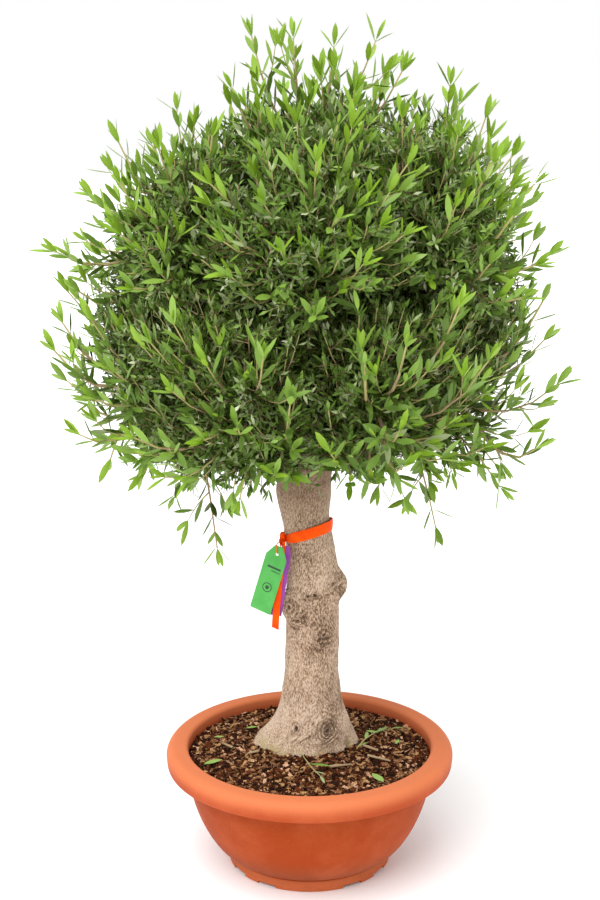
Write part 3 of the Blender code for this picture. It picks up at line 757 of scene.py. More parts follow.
@dataclass
class Pot:
    """The bowl: a rolled rim with a hanging skirt, a foot ring notched into eight feet, and drains.

    The skirt's edge is given as how far in from the rim, and up from its foot, each point is.
    """

    radius: float = 0.300
    rim_top: float = 0.255
    rim_round: float = 0.019
    skirt_foot: float = 0.215
    skirt_wall: float = 0.004
    skirt_edge: tuple[Pair, ...] = (
        (0.0006, 0.0120), (0.0014, 0.0050), (0.0020, 0.0022), (0.0030, 0.0004)
    )
    edge_round: float = 0.0008
    mouth_radius: float = 0.2546
    inner_lip: float = 0.008
    neck_radius: float = 0.2585
    wall: float = 0.004
    inset_share: float = 0.75
    bowl_foot_radius: float = 0.1674
    bowl_foot: float = 0.0256
    powers: Pair = (1.62, 1 / 1.61)
    foot_radius: float = 0.1704
    foot_wall: float = 0.007
    foot_round: float = 0.0012
    foot_notch: float = 0.0063
    wide_feet: int = 4
    notch_degrees: float = 14.5
    wide_foot_degrees: float = 48.0
    base_underside: float = 0.010
    base_top: float = 0.015
    pad_radius: float = 0.024
    pad_taper: float = 0.002
    drain_radius: float = 0.008
    drain_circle: float = 0.105
    drain_bearing: float = 40.0
    drains: int = 4
    turns: int = 168
    wall_steps: int = 22
    crowding: float = 1.5

    def outside(self, height: float) -> float:
        """Measures the bowl's outside.

        Args:
            height: A height.

        Returns:
            The outer radius there.
        """
        t = min(max((height - self.bowl_foot) / (self.skirt_foot - self.bowl_foot), 0.0), 1.0)
        fill = (1 - (1 - t) ** self.powers[0]) ** self.powers[1]
        return self.bowl_foot_radius + (self.neck_radius - self.bowl_foot_radius) * fill

    def heights(self, top: float) -> list[float]:
        """Heights up the wall, crowded towards the foot, where the bowl turns in."""
        shares = [(i / self.wall_steps) ** self.crowding for i in range(self.wall_steps + 1)]
        return [self.bowl_foot + (top - self.bowl_foot) * share for share in shares]

    def inner_wall(self, inset: float) -> list[Pair]:
        """The outside of the bowl moved up and in.

        Args:
            inset: How far.

        Returns:
            Points of (radius, height), from the base plate up.
        """
        heights = self.heights(self.skirt_foot - 4 * self.wall)
        wall = [(self.outside(z) - self.inset_share * inset, z + inset) for z in heights]
        return [(wall[0][0], self.base_top + inset - self.wall)] + wall

    def profile(self) -> list[Pair]:
        """Draws the wall's section.

        Returns:
            Points of (radius, height), from the base up the inside, over the rim and down.
        """
        rim = (self.radius - self.rim_round, self.rim_top - self.rim_round)
        lip = (self.mouth_radius + self.inner_lip, self.rim_top - self.inner_lip)
        skirt = self.radius - self.skirt_edge[-1][0]
        under_rim = self.rim_top - 2 * self.skirt_wall
        points = [(0.0, self.base_top)] + self.inner_wall(self.wall)
        points.append((self.mouth_radius, lip[1]))
        points += arc(lip, self.inner_lip, 165, 90, 5)
        points += arc(rim, self.rim_round, 90, 0, 14)
        points += [(self.radius - inward, self.skirt_foot + up) for inward, up in self.skirt_edge]
        points += [
            (skirt - self.edge_round, self.skirt_foot),
            (skirt - self.skirt_wall, self.skirt_foot),
            (skirt - self.skirt_wall, rim[1]),
            (rim[0] - self.skirt_wall, under_rim),
            (self.neck_radius, under_rim),
        ]
        points += [(self.outside(z), z) for z in reversed(self.heights(self.skirt_foot))]
        points += [
            (self.foot_radius - self.edge_round, self.bowl_foot - self.foot_round),
            (self.foot_radius, self.bowl_foot - 2 * self.foot_round),
            (self.foot_radius, self.foot_round),
            (self.foot_radius - self.foot_round, 0.0),
            (self.foot_radius - self.foot_wall, 0.0),
            (self.foot_radius - self.foot_wall, self.base_underside),
            (self.pad_radius + self.pad_taper, self.base_underside),
            (self.pad_radius, 0.0),
            (0.0, 0.0),
        ]
        return points

    def cutter(self) -> Object:
        """Makes boxes for the notches and cylinders for the drains.

        Returns:
            One object of them.
        """
        bm = bmesh.new()
        width = 2 * self.foot_radius * math.sin(math.radians(self.notch_degrees / 2))
        aside = (self.wide_foot_degrees + self.notch_degrees) / 2
        for foot, side in itertools.product(range(self.wide_feet), (-1, 1)):
            bearing = 270 + 360 * foot / self.wide_feet + side * aside
            turn = Matrix.Rotation(math.radians(bearing), 4, "Z")
            shift = Matrix.Translation((self.foot_radius - self.foot_wall / 2, 0.0, 0.0))
            size = Matrix.Diagonal((6 * self.foot_wall, width, 2 * self.foot_notch, 1.0))
            bmesh.ops.create_cube(bm, size=1.0, matrix=turn @ shift @ size)
        for drain in range(self.drains):
            at = self.drain_circle * level(self.drain_bearing + 360 * drain / self.drains)
            bmesh.ops.create_cone(
                bm, cap_ends=True, segments=24, radius1=self.drain_radius,
                radius2=self.drain_radius, depth=4 * self.base_top, matrix=Matrix.Translation(at),
            )
        mesh = bpy.data.meshes.new("pot_cutter")
        bm.to_mesh(mesh)
        bm.free()
        return new_object("pot_cutter", mesh)

    def build(self) -> None:
        """Turns the profile, cuts the notches and drains, and dresses the pot."""
        profile = self.profile()
        section = bpy.data.meshes.new("pot_section")
        edges = [(i, i + 1) for i in range(len(profile) - 1)]
        section.from_pydata([(radius, 0.0, height) for radius, height in profile], edges, [])
        pot = new_object("pot_section", section)
        screw = pot.modifiers.new("Turn", "SCREW")
        screw.steps = screw.render_steps = self.turns
        screw.use_merge_vertices = True
        screw.merge_threshold = 0.00005
        cutter = self.cutter()
        cut = pot.modifiers.new("Feet and drains", "BOOLEAN")
        cut.operation = "DIFFERENCE"
        cut.object = cutter
        mesh = soften(shaped_mesh(pot), 32.0)
        bpy.data.objects.remove(cutter, do_unlink=True)
        dress(new_object("bowl_pot", mesh, PotFinish().material()), "pot_plastic", "pot")


class ChipTone(Enum):
    """The tones of the compost's bark chips, with the share that each is dealt."""

    DARK = (ChipFinish("chip_dark", paint(50, 24, 9), paint(28, 12, 4)), 0.38)
    RED = (ChipFinish("chip_red", paint(106, 54, 26), paint(58, 26, 10)), 0.24)
    TAN = (ChipFinish("chip_tan", paint(160, 112, 76), paint(98, 62, 38)), 0.19)
    STRAW = (ChipFinish("chip_straw", paint(200, 158, 108), paint(146, 102, 64)), 0.12)
    PALE = (ChipFinish("chip_pale", paint(228, 182, 146), paint(180, 136, 104)), 0.07)


@dataclass
class Compost:
    """The bark compost: an uneven surface, chips strewn on it, sticks, and fallen leaves."""

    edge: float = 0.228
    top: float = 0.240
    flat_radius: float = 0.152
    outer_radius: float = 0.2538
    rings: int = 64
    turns: int = 200
    clod: float = 0.0045
    clods_per_metre: Pair = (38.0, 110.0)
    over_cad: float = 0.0003
    chips: int = 12000
    strewn_share: float = 0.985
    chip_lengths: Pair = (0.003, 0.018)
    chip_widths: Pair = (0.22, 0.60)
    chip_depths: Pair = (0.08, 0.24)
    chip_corners: Pair = (0.45, 1.25)
    chip_tilt: float = 0.38
    chip_lift: float = 0.0025
    trunk_clearance: float = 0.074
    trunk_axis: Pair = (-0.008, 0.034)

    def ground(self, x: float, y: float) -> float:
        """Heaps the compost towards the trunk, with coarse and fine clods.

        Args:
            x: How far right of the middle.
            y: How far behind it.

        Returns:
            The surface's height there.
        """
        away = math.hypot(x, y)
        fall = max(away - self.flat_radius, 0.0) / (self.outer_radius - self.flat_radius)
        coarse, fine = self.clods_per_metre
        clods = noise.noise(Vector((x, y, 0.0)) * coarse)
        clods += 0.6 * noise.noise(Vector((x, y, 3.0)) * fine)
        heap = max(0.0, 1.0 - away / self.outer_radius) ** 0.5
        slope = self.top - (self.top - self.edge) * fall
        return slope + self.clod * (0.35 + clods * 0.6 * heap)

    def surface(self) -> None:
        """Builds the uneven top, just over the CAD compost."""
        rows = []
        for i in range(self.rings + 1):
            away = self.outer_radius * i / self.rings
            ring = [away * level(360 * j / self.turns) for j in range(self.turns)]
            low = self.edge + self.over_cad
            rows.append([(at.x, at.y, max(self.ground(at.x, at.y), low)) for at in ring])
        mesh = soften(grid_mesh("compost_surface", rows[::-1]), 180.0)
        dress(new_object("compost_surface", mesh, CompostFinish().material()), "compost")

    def chip_shapes(self) -> None:
        """Strews bark chips, irregular flat wedges, at random."""
        draw = np.random.default_rng(SEED)
        corners = np.array(list(itertools.product((-0.5, 0.5), repeat=3)))
        box = np.array([
            (0, 1, 3), (0, 3, 2), (4, 6, 7), (4, 7, 5), (0, 4, 5), (0, 5, 1),
            (2, 3, 7), (2, 7, 6), (0, 2, 6), (0, 6, 4), (1, 5, 7), (1, 7, 3),
        ])
        stock = Stock("bark_chips", [tone.value[0].material() for tone in ChipTone])
        shares = np.array([tone.value[1] for tone in ChipTone])
        low, high = self.chip_lengths
        for _ in range(self.chips):
            away = self.outer_radius * self.strewn_share * math.sqrt(draw.random())
            spot = away * level(360 * draw.random())
            off = math.hypot(spot.x - self.trunk_axis[0], spot.y - self.trunk_axis[1])
            if off < self.trunk_clearance:
                continue
            length = low + (high - low) * draw.random() ** 3.2
            wide, deep = draw.uniform(*self.chip_widths), draw.uniform(*self.chip_depths)
            size = np.array([length, length * wide, length * deep])
            shape = corners * draw.uniform(*self.chip_corners, corners.shape) * size
            tilts = [Matrix.Rotation(draw.normal(0.0, self.chip_tilt), 3, axis) for axis in "XY"]
            turn = Matrix.Rotation(draw.uniform(0.0, math.tau), 3, "Z") @ (tilts[0] @ tilts[1])
            bed = self.ground(spot.x, spot.y) + size[2] * 0.35
            middle = np.array((spot.x, spot.y, bed + draw.uniform(0.0, self.chip_lift)))
            slot = np.searchsorted(np.cumsum(shares), draw.random() * shares.sum())
            points = shape @ np.array(turn).T + middle
            past = np.hypot(points[:, 0], points[:, 1]) / (self.outer_radius + 0.0005)
            points[:, :2] /= np.maximum(past, 1.0)[:, None]
            stock.add(points, box, np.full(len(box), slot))
        chips = stock.piece()
        chips.data.shade_flat()
        dress(chips, "compost")

    def build(self) -> None:
        """Builds the compost's pieces; the CAD compost stays, for what shows through the drains."""
        self.surface()
        self.chip_shapes()
        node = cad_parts["compost"]
        node.data.materials.clear()
        node.data.materials.append(CompostFinish("compost_body").material())


# ---- Trunk and boughs ------------------------------------------------------------

@dataclass(frozen=True)
class Burl:
    """A lump on the trunk: its bearing and height, how far proud, and its half sizes."""

    bearing: float
    height: float
    proud: float
    half_width: float
    half_height: float


@dataclass(frozen=True)
class Knot:
    """A healed cut: rings round a sunken middle, which colour the bark where they are clear."""

    bearing: float
    height: float
    radius: float
    depth: float
    rings: float
    squash: float
    core: float
    clear: float = 0.0


@dataclass
class Trunk:
    """The trunk: its stations, the root flare, burls, knots and seams, and the bark's relief.

    A station is a height, the middle there, and the radius. A seam runs from one bearing to
    another, and from one height to another.
    """

    stations: tuple[Four, ...] = (
        (0.240, -0.011, 0.030, 0.0545),
        (0.300, 0.003, 0.030, 0.0550),
        (0.400, 0.004, 0.029, 0.0550),
        (0.500, 0.006, 0.028, 0.0550),
        (0.560, 0.006, 0.028, 0.0545),
        (0.620, 0.0065, 0.028, 0.0525),
        (0.680, 0.0010, 0.029, 0.0500),
        (0.740, -0.0085, 0.030, 0.0500),
        (0.795, -0.012, 0.030, 0.0550),
        (0.845, -0.008, 0.030, 0.0550),
    )
    burls: tuple[Burl, ...] = (
        Burl(-8.0, 0.596, 0.0155, 26.0, 0.027),
        Burl(218.0, 0.552, 0.0135, 25.0, 0.027),
        Burl(288.0, 0.498, 0.0040, 26.0, 0.026),
        Burl(293.0, 0.292, 0.0070, 15.0, 0.022),
    )
    burl_power: float = 3.0
    knots: tuple[Knot, ...] = (
        Knot(298.0, 0.2940, 0.0290, 0.0044, 4.0, 1.0, 0.45, 1.0),
        Knot(243.0, 0.292, 0.0120, 0.0050, 2.0, 1.7, 0.8),
        Knot(224.0, 0.556, 0.0270, 0.0046, 2.8, 1.1, 0.30, 0.60),
        Knot(240.0, 0.530, 0.0130, 0.0036, 1.2, 0.8, 0.60),
        Knot(295.0, 0.500, 0.0230, 0.0030, 2.4, 1.1, 0.20, 0.42),
        Knot(283.0, 0.489, 0.0080, 0.0024, 1.0, 1.0, 0.35),
        Knot(-24.0, 0.594, 0.0240, 0.0046, 1.8, 1.4, 0.30),
        Knot(-46.0, 0.602, 0.0080, 0.0030, 1.0, 2.2, 0.55),
        Knot(274.0, 0.586, 0.0060, 0.0030, 1.0, 0.8, 0.8),
        Knot(260.0, 0.583, 0.0045, 0.0025, 1.0, 0.8, 0.7),
    )
    seams: tuple[Four, ...] = (
        (236.0, 322.0, 0.578, 0.590), (248.0, 284.0, 0.262, 0.300),
        (205.0, 250.0, 0.520, 0.512),
    )
    seam_width: float = 0.0035
    seam_height: float = 0.0028
    seam_waver: float = 0.006
    knot_reach: float = 1.8
    lump: float = 0.0022
    furrow: float = 0.0011
    grain: float = 0.0009
    fold: float = 0.0075
    fold_height: float = 0.035
    foot: float = 0.2403
    flare: float = 0.053
    flare_height: float = 0.064
    flare_power: float = 1.25
    flare_lobes: int = 4
    flare_lobe_depth: float = 0.12
    flare_shy: Pair = (0.50, 55.0)
    head_top: float = 0.868
    head_radius: float = 0.040
    head_rings: int = 4
    head_darkness: float = 0.3
    rings: int = 230
    turns: int = 190

    def between(self, height: float, column: int) -> float:
        """Reads a column of the stations, on a smooth curve through them.

        Args:
            height: A height.
            column: The column's number.

        Returns:
            Its value there.
        """
        rows = self.stations
        if height <= rows[0][0]:
            return rows[0][column]
        if height >= rows[-1][0]:
            return rows[-1][column]
        i = max(k for k in range(len(rows) - 1) if rows[k][0] <= height)

        def slope(k: int) -> float:
            """The curve's slope at a station."""
            low, high = rows[max(k - 1, 0)], rows[min(k + 1, len(rows) - 1)]
            return (high[column] - low[column]) / (high[0] - low[0])

        span = rows[i + 1][0] - rows[i][0]
        t = (height - rows[i][0]) / span
        start, end = rows[i][column], rows[i + 1][column]
        return (
            start * (1 + 2 * t) * (1 - t) ** 2
            + end * t * t * (3 - 2 * t)
            + span * t * (1 - t) * (slope(i) * (1 - t) - slope(i + 1) * t)
        )

    def centre(self, height: float) -> Vector:
        """The trunk's middle at a height."""
        return Vector((self.between(height, 1), self.between(height, 2), height))

    def radius(self, bearing: float, height: float) -> float:
        """Adds the root flare with its lobes, and the burls, to the stem.

        Args:
            bearing: The bearing in degrees.
            height: The height.

        Returns:
            The trunk's radius there.
        """
        risen = max(height - self.foot, 0.0) / self.flare_height
        spread = self.flare * math.exp(-(risen ** self.flare_power))
        shy, shy_width = self.flare_shy
        spread *= 1 - shy * math.exp(-((off_by(bearing, 270.0) / shy_width) ** 2))
        lobes = math.cos(math.radians(self.flare_lobes * bearing))
        radius = self.between(height, 3) + spread * (1 + self.flare_lobe_depth * lobes)
        for burl in self.burls:
            across = abs(off_by(bearing, burl.bearing)) / burl.half_width
            up = abs(height - burl.height) / burl.half_height
            radius += burl.proud * math.exp(-(across ** 2) - up ** self.burl_power)
        return radius

    def knot_relief(self, knot: Knot, across: float, up: float, on: Vector) -> Pair:
        """Rings of bark round a healed cut.

        Args:
            knot: The knot.
            across: How far round the bark a place is from its middle, in metres.
            up: How far above it.
            on: The place.

        Returns:
            How far the bark stands out there, in metres, and how much darker it is.
        """
        away = math.hypot(across, up / knot.squash) / knot.radius
        if away >= self.knot_reach:
            return 0.0, 0.0
        uneven = 0.65 - 0.35 * knot.clear
        swirl = away + uneven * noise.noise(on * 46.0) + 0.14 * noise.noise(on * 150.0)
        rings = math.cos(swirl * knot.rings * math.tau)
        fade = 1 - (away / self.knot_reach) ** 2
        collar = 0.6 * math.exp(-(((away - 0.9) / 0.35) ** 2))
        sunk = knot.core * math.exp(-((away / 0.35) ** 2))
        # the rings darker in their grooves, partly painted shade, and the middle's own dark core
        stain = fade * (0.20 - (0.24 + 0.18 * knot.clear) * rings)
        stain += 0.75 * knot.core * math.exp(-((away / 0.48) ** 2))
        return fade * 0.45 * knot.depth * rings + knot.depth * (collar - sunk), stain

    def seam_relief(self, seam: Four, bearing: float, height: float, on: Vector) -> Pair:
        """A raised seam of bark with a painted shadow line under it.

        Args:
            seam: The seam.
            bearing: The bearing in degrees.
            height: The height.
            on: The place.

        Returns:
            How far the bark stands out there, in metres, and how much darker it is.
        """
        start, end, low, high = seam
        share = (bearing - start) / (end - start)
        if not 0 < share < 1:
            return 0.0, 0.0
        line = low + (high - low) * share + self.seam_waver * noise.noise(on * 30.0)
        off = (height - line) / self.seam_width
        swell = math.sin(math.pi * share)
        out = self.seam_height * swell ** 0.5 * math.exp(-off * off)
        # the second value is the painted shadow line under the seam
        return out, 0.55 * math.exp(-((off + 1.3) ** 2)) * swell

    def relief(self, bearing: float, height: float, radius: float) -> Pair:
        """The bark's relief, and how dark it is painted: shade in its hollows, folds and under
        seams, and the knots' own colour.

        Args:
            bearing: The bearing in degrees.
            height: The height.
            radius: The smooth trunk's radius there.

        Returns:
            How far the bark stands out, in metres, and its painted shade with the knots' colour,
            from 0 to 1.
        """
        on = radius * level(bearing) + height * UP
        furrows = noise.noise(Vector((on.x, on.y, on.z * 0.45)) * 62.0)
        grain = noise.noise(Vector((on.x, on.y, on.z * 0.75)) * 190.0)
        out = self.lump * noise.noise(on * 16.0) + self.furrow * furrows + self.grain * grain
        # painted shade in the furrows
        stain = max(0.0, -furrows) * 0.35
        near_foot = math.exp(-(((height - self.foot) / self.fold_height) ** 2))
        fold = noise.noise(Vector((on.x * 48, on.y * 48, on.z * 9)))
        out += near_foot * self.fold * fold
        # painted shade round the foot and in the folds' valleys
        stain += near_foot * (0.20 + 1.3 * max(0.0, -fold - 0.05))
        found = []
        for knot in self.knots:
            across = math.radians(off_by(bearing, knot.bearing)) * radius
            found.append(self.knot_relief(knot, across, height - knot.height, on))
        found += [self.seam_relief(seam, bearing, height, on) for seam in self.seams]
        for proud, darker in found:
            out, stain = out + proud, stain + darker
        return out, min(stain, 1.0)

    def scars(self) -> tuple[Scar, ...]:
        """Gathers the clear knots.

        Returns:
            Them, as the bark's finish shows them.
        """
        found = []
        for knot in (knot for knot in self.knots if knot.clear > 0):
            away = self.radius(knot.bearing, knot.height) * level(knot.bearing)
            found.append((self.centre(knot.height) + away, knot.radius, knot.rings, knot.clear))
        return tuple(found)

    def build(self) -> None:
        """Builds the trunk's bark, from the compost to its pollarded head."""
        shoulder, _, _, shoulder_radius = self.stations[-1]
        bearings = [360 * j / self.turns for j in range(self.turns)]
        rows, stains_and_shades = [], []
        for i in range(self.rings + 1):
            height = self.foot + (shoulder - self.foot) * i / self.rings
            middle, row = self.centre(height), []
            for bearing in bearings:
                radius = self.radius(bearing, height)
                out, stain = self.relief(bearing, height, radius)
                row.append(middle + (radius + out) * level(bearing))
                stains_and_shades.append(stain)
            rows.append(row)
        for i in range(1, self.head_rings + 1):
            share = i / self.head_rings
            height = shoulder + (self.head_top - shoulder) * share
            radius = shoulder_radius + (self.head_radius - shoulder_radius) * share
            middle, row = self.centre(height), []
            for way in map(level, bearings):
                rough = 0.0015 * noise.noise(way * 9 + 30 * height * UP)
                row.append(middle + (radius + rough) * way)
            # the head is darkened evenly
            stains_and_shades += [self.head_darkness] * self.turns
            rows.append(row)
        mesh = soften(grid_mesh("trunk_bark", rows, capped=True), 70.0)
        layer = mesh.attributes.new(STAIN_AND_SHADE, "FLOAT", "POINT")
        layer.data.foreach_set("value", np.array(stains_and_shades, np.float32))
        finish = BarkFinish(scars=self.scars())
        dress(new_object("trunk_bark", mesh, finish.material()), "bark", "trunk")


@dataclass(frozen=True)
class Mass:
    """One mass of foliage: its place in the crown, as a bearing and a rise from its centre."""

    name: str
    bearing: float
    rise: float

    def direction(self) -> Vector:
        """The way from the crown's centre to the mass."""
        return level(self.bearing, self.rise)


@dataclass
class Boughs:
    """The thirteen boughs, from the trunk's head to the masses.

    A ring of masses is given as how many there are, and their rise.
    """

    trunk: Trunk
    crown_centre: Vector = field(default_factory=lambda: Vector((-0.005, 0.030, 1.190)))
    hub: float = 0.290
    hollow: float = 0.205
    head_room: float = 0.130
    radius: float = 0.0124
    tip_radius: float = 0.0095
    circle: float = 0.0268
    straight: float = 0.008
    short: float = 0.002
    gap: float = 0.0003
    sunk: float = 0.006
    swell: float = 0.35
    lumps: float = 0.10
    steps: int = 16
    turns: int = 20
    upper: tuple[int, float] = (5, 36.0)
    lower: tuple[int, float] = (7, -24.0)

    def masses(self) -> list[Mass]:
        """Deals the masses: one on top, and a ring above and a ring below the middle.

        Returns:
            Them, from the top down.
        """
        found = [Mass("top", 270.0, 90.0)]
        count, rise = self.upper
        found += [Mass(f"upper_{i + 1}", 270 + 360 * i / count, rise) for i in range(count)]
        count, rise = self.lower
        found += [Mass(f"lower_{i + 1}", 270 + 360 * (i + 0.5) / count, rise) for i in range(count)]
        return found

    def fork(self, mass: Mass) -> Vector:
        """Where a mass's stem ends."""
        return self.crown_centre + self.hub * mass.direction()

    def entry(self, mass: Mass) -> tuple[Vector, Vector]:
        """Where a bough reaches its mass.

        Args:
            mass: The mass.

        Returns:
            The point, and the way that the bough then heads.
        """
        head = self.trunk.centre(self.trunk.head_top)
        start, depth = (head, self.head_room) if mass.rise < 0 else (self.crown_centre, self.hollow)
        line = (self.fork(mass) - start).normalized()
        return start + (depth - self.short) * line, line

    def route(self, mass: Mass) -> list[Vector]:
        """Bends a bough from the trunk's head to its mass.

        Args:
            mass: The mass.

        Returns:
            The bough's middle line, straight at both ends.
        """
        trunk, head = self.trunk, self.trunk.centre(self.trunk.head_top)
        entry, inward = self.entry(mass)
        if mass.rise > 0:
            out = UP
            seat = head + level(mass.bearing) * (self.circle if mass.rise < 90 else 0)
        else:
            run = trunk.stations[-1][3] - trunk.head_radius
            fall = trunk.head_top - trunk.stations[-1][0]
            out = (level(mass.bearing) * fall + UP * run).normalized()
            seat = head + level(mass.bearing) * (trunk.head_radius + run / 2) - UP * fall / 2
        foot, tip = seat + self.gap * out, entry - self.straight * inward
        rise = foot + self.straight * out
        pull = 0.35 * (tip - rise).length
        handles = (rise + pull * out, tip - pull * inward)
        bend = geometry.interpolate_bezier(rise, *handles, tip, self.steps)
        return [foot - self.sunk * out, *bend, entry]

    def bark(self, mass: Mass) -> tuple[list, list]:
        """A bough's bark.

        Args:
            mass: The mass that it carries.

        Returns:
            Its points and faces.
        """
        route = self.route(mass)
        last = len(route) - 1
        rows = []
        for i, point in enumerate(route):
            heading = (route[min(i + 1, last)] - route[max(i - 1, 0)]).normalized()
            swell = 1 + self.swell * math.exp(-i / 1.2)
            radius = (self.radius + (self.tip_radius - self.radius) * i / last) * swell
            row = []
            for out in spokes(heading, self.turns):
                lumps = 1 + self.lumps * noise.noise((point + radius * out) * 70.0)
                row.append(point + radius * lumps * out)
            rows.append(row)
        return sheet_grid(rows)

    def build(self) -> None:
        """Builds all the boughs as one piece."""
        points, faces = [], []
        for mass in self.masses():
            new_points, new_faces = self.bark(mass)
            faces += [tuple(len(points) + k for k in face) for face in new_faces]
            points += new_points
        mesh = bpy.data.meshes.new("bough_bark")
        mesh.from_pydata(points, [], faces)
        piece = new_object("bough_bark", soften(mesh, 60.0), BarkFinish("bough_bark").material())
        dress(piece, "bark", *("bough_" + mass.name for mass in self.masses()))


# ---- Crown -----------------------------------------------------------------------

def square_to(heading: Vector, turn: float) -> tuple[Vector, Vector]:
    """A side and a face direction square to a heading.

    Args:
        heading: The heading, of unit length.
        turn: How far both are turned about it, in radians.

    Returns:
        The side and the face.
    """
    side = heading.cross(UP)
    if side.length < 0.1:
        side = heading.cross(Vector((1.0, 0.0, 0.0)))
    side.normalize()
    face = side.cross(heading)
    along, across = math.cos(turn), math.sin(turn)
    return side * along + face * across, face * along - side * across


def spokes(heading: Vector, count: int) -> list[Vector]:
    """Spreads unit vectors evenly round a heading, square to it.

    Args:
        heading: The heading, of unit length.
        count: How many.

    Returns:
        The vectors.
    """
    side, face = square_to(heading, 0.0)
    angles = [math.tau * j / count for j in range(count)]
    return [side * math.cos(angle) + face * math.sin(angle) for angle in angles]


def even_directions(count: int) -> Iterator[Vector]:
    """Unit vectors spread evenly over a sphere, along a golden-angle spiral.

    Args:
        count: How many.

    Yields:
        Each of them, from the top down.
    """
    golden = math.pi * (3 - math.sqrt(5))
    for i in range(count):
        height = 1 - (2 * i + 1) / count
        across = math.sqrt(1 - height * height)
        yield Vector((across * math.cos(golden * i), across * math.sin(golden * i), height))


def scatter(draw: Random, most: float) -> Vector:
    """A random step, of up to this far each way."""
    return Vector([draw.uniform(-most, most) for _ in range(3)])


class Wood:
    """A twig's middle line, which leaves and finer twigs are placed on."""

    def __init__(self, points: Sequence[Vector]) -> None:
        """Measures the line.

        Args:
            points: The line's points, from its foot to its tip.
        """
        self.points = list(points)
        self.lengths = [(b - a).length for a, b in zip(points, points[1:])]
        self.length = sum(self.lengths)

    def at(self, back: float) -> tuple[Vector, Vector]:
        """A place on the twig.

        Args:
            back: How far it is from the tip.

        Returns:
            The point, and the twig's heading there.
        """
        i = len(self.lengths) - 1
        while i > 0 and back > self.lengths[i]:
            back -= self.lengths[i]
            i -= 1
        heading = (self.points[i + 1] - self.points[i]).normalized()
        return self.points[i + 1] - min(back, self.lengths[i]) * heading, heading

    def shape(self, radius: float, tip_radius: float, sides: int) -> tuple[np.ndarray, np.ndarray]:
        """A tapering tube along the line.

        Args:
            radius: Its radius at the foot.
            tip_radius: Its radius at the tip.
            sides: How many sides it has.

        Returns:
            Its points and triangles.
        """
        rows, last = [], len(self.points) - 1
        for i, point in enumerate(self.points):
            heading = (self.points[min(i + 1, last)] - self.points[max(i - 1, 0)]).normalized()
            size = radius + (tip_radius - radius) * i / last
            rows += [point + size * out for out in spokes(heading, sides)]
        triangles = []
        for i, j in itertools.product(range(last), range(sides)):
            k = (j + 1) % sides
            low, high = i * sides, (i + 1) * sides
            triangles += [(low + j, low + k, high + k), (low + j, high + k, high + j)]
        tip = last * sides
        triangles += [(tip, tip + j, tip + j + 1) for j in range(1, sides - 1)]
        return np.array(rows), np.array(triangles)


@dataclass(frozen=True)
class LeafForm:
    """How a leaf is cut: places along it, its width at each, and its fold's depth, as shares."""

    along: tuple[float, ...]
    wide: tuple[float, ...]
    fold: float
    ribbed: bool = True

    def faces(self) -> np.ndarray:
        """Numbers the leaf's corners: a fan at each end, and four faces between two places.

        Returns:
            Its triangles.
        """
        if not self.ribbed:
            return np.array([(0, 3, 1), (0, 2, 3)])
        found = [(0, 2, 1), (0, 3, 2)]
        last = len(self.along) - 1
        for i in range(last):
            left = 1 + 3 * i
            for a in (left, left + 1):
                found += [(a, a + 1, a + 4), (a, a + 4, a + 3)]
        left = 1 + 3 * last
        found += [(left, left + 1, left + 3), (left + 1, left + 2, left + 3)]
        return np.array(found)


OUTER_LEAF = LeafForm((0.22, 0.50, 0.78), (0.64, 1.0, 0.74), 0.28)
MIDDLE_LEAF = LeafForm((0.32, 0.68), (0.92, 0.84), 0.30)
INNER_LEAF = LeafForm((0.50,), (1.0,), 0.30)
SMALL_LEAF = LeafForm((0.47,), (1.0,), 0.30, False)
TONES = list(LeafTone)  # in the order of the leaves' slots


@dataclass
class LeafBed:
    """Leaves of one cut waiting to be shaped, one row of numbers each.

    A leaf's size is its length, half its width, and how far its tip bends to its upper side.
    """

    form: LeafForm
    rows: list[tuple[float, ...]] = field(default_factory=list)

    def add(
        self, base: Vector, along: Vector, face: Vector, size: Three, tone: LeafTone
    ) -> None:
        """Adds a leaf that springs from a base along a way, with its upper side to its face."""
        self.rows.append((*base, *along, *face, *size, TONES.index(tone)))

    def fill(self, stock: Stock) -> None:
        """Shapes every leaf at once.

        Args:
            stock: What they go into.
        """
        if not self.rows:
            return
        table = np.array(self.rows)
        base, along, face = table[:, 0:3], table[:, 3:6], table[:, 6:9]
        length, half, bend = table[:, 9:10], table[:, 10:11], table[:, 11:12]
        side = np.cross(along, face)
        corners = [base]
        for t, wide in zip(self.form.along, self.form.wide):
            middle = base + along * length * t + face * bend * t * t
            reach, sunk = side * half * wide, face * half * wide * self.form.fold
            if self.form.ribbed:
                corners += [middle + reach, middle - sunk, middle - reach]
            else:
                corners += [middle + reach + sunk, middle - reach + sunk]
        corners.append(base + along * length + face * bend)
        points = np.stack(corners, axis=1)
        faces = self.form.faces()
        starts = np.arange(len(table))[:, None, None] * points.shape[1]
        slots = np.repeat(table[:, 12].astype(int), len(faces))
        stock.add(points.reshape(-1, 3), (faces[None] + starts).reshape(-1, 3), slots)


@dataclass(frozen=True)
class Storey:
    """One storey of shoots: how many, between which heights, how far out, and what they carry."""

    name: str
    form: LeafForm
    shoots: int
    belt: Pair
    ends: Pair
    pairs: int
    side_shoots: int
    spurs: int
    leaf: Pair
    spacing: float
    radii: Pair
    age: float


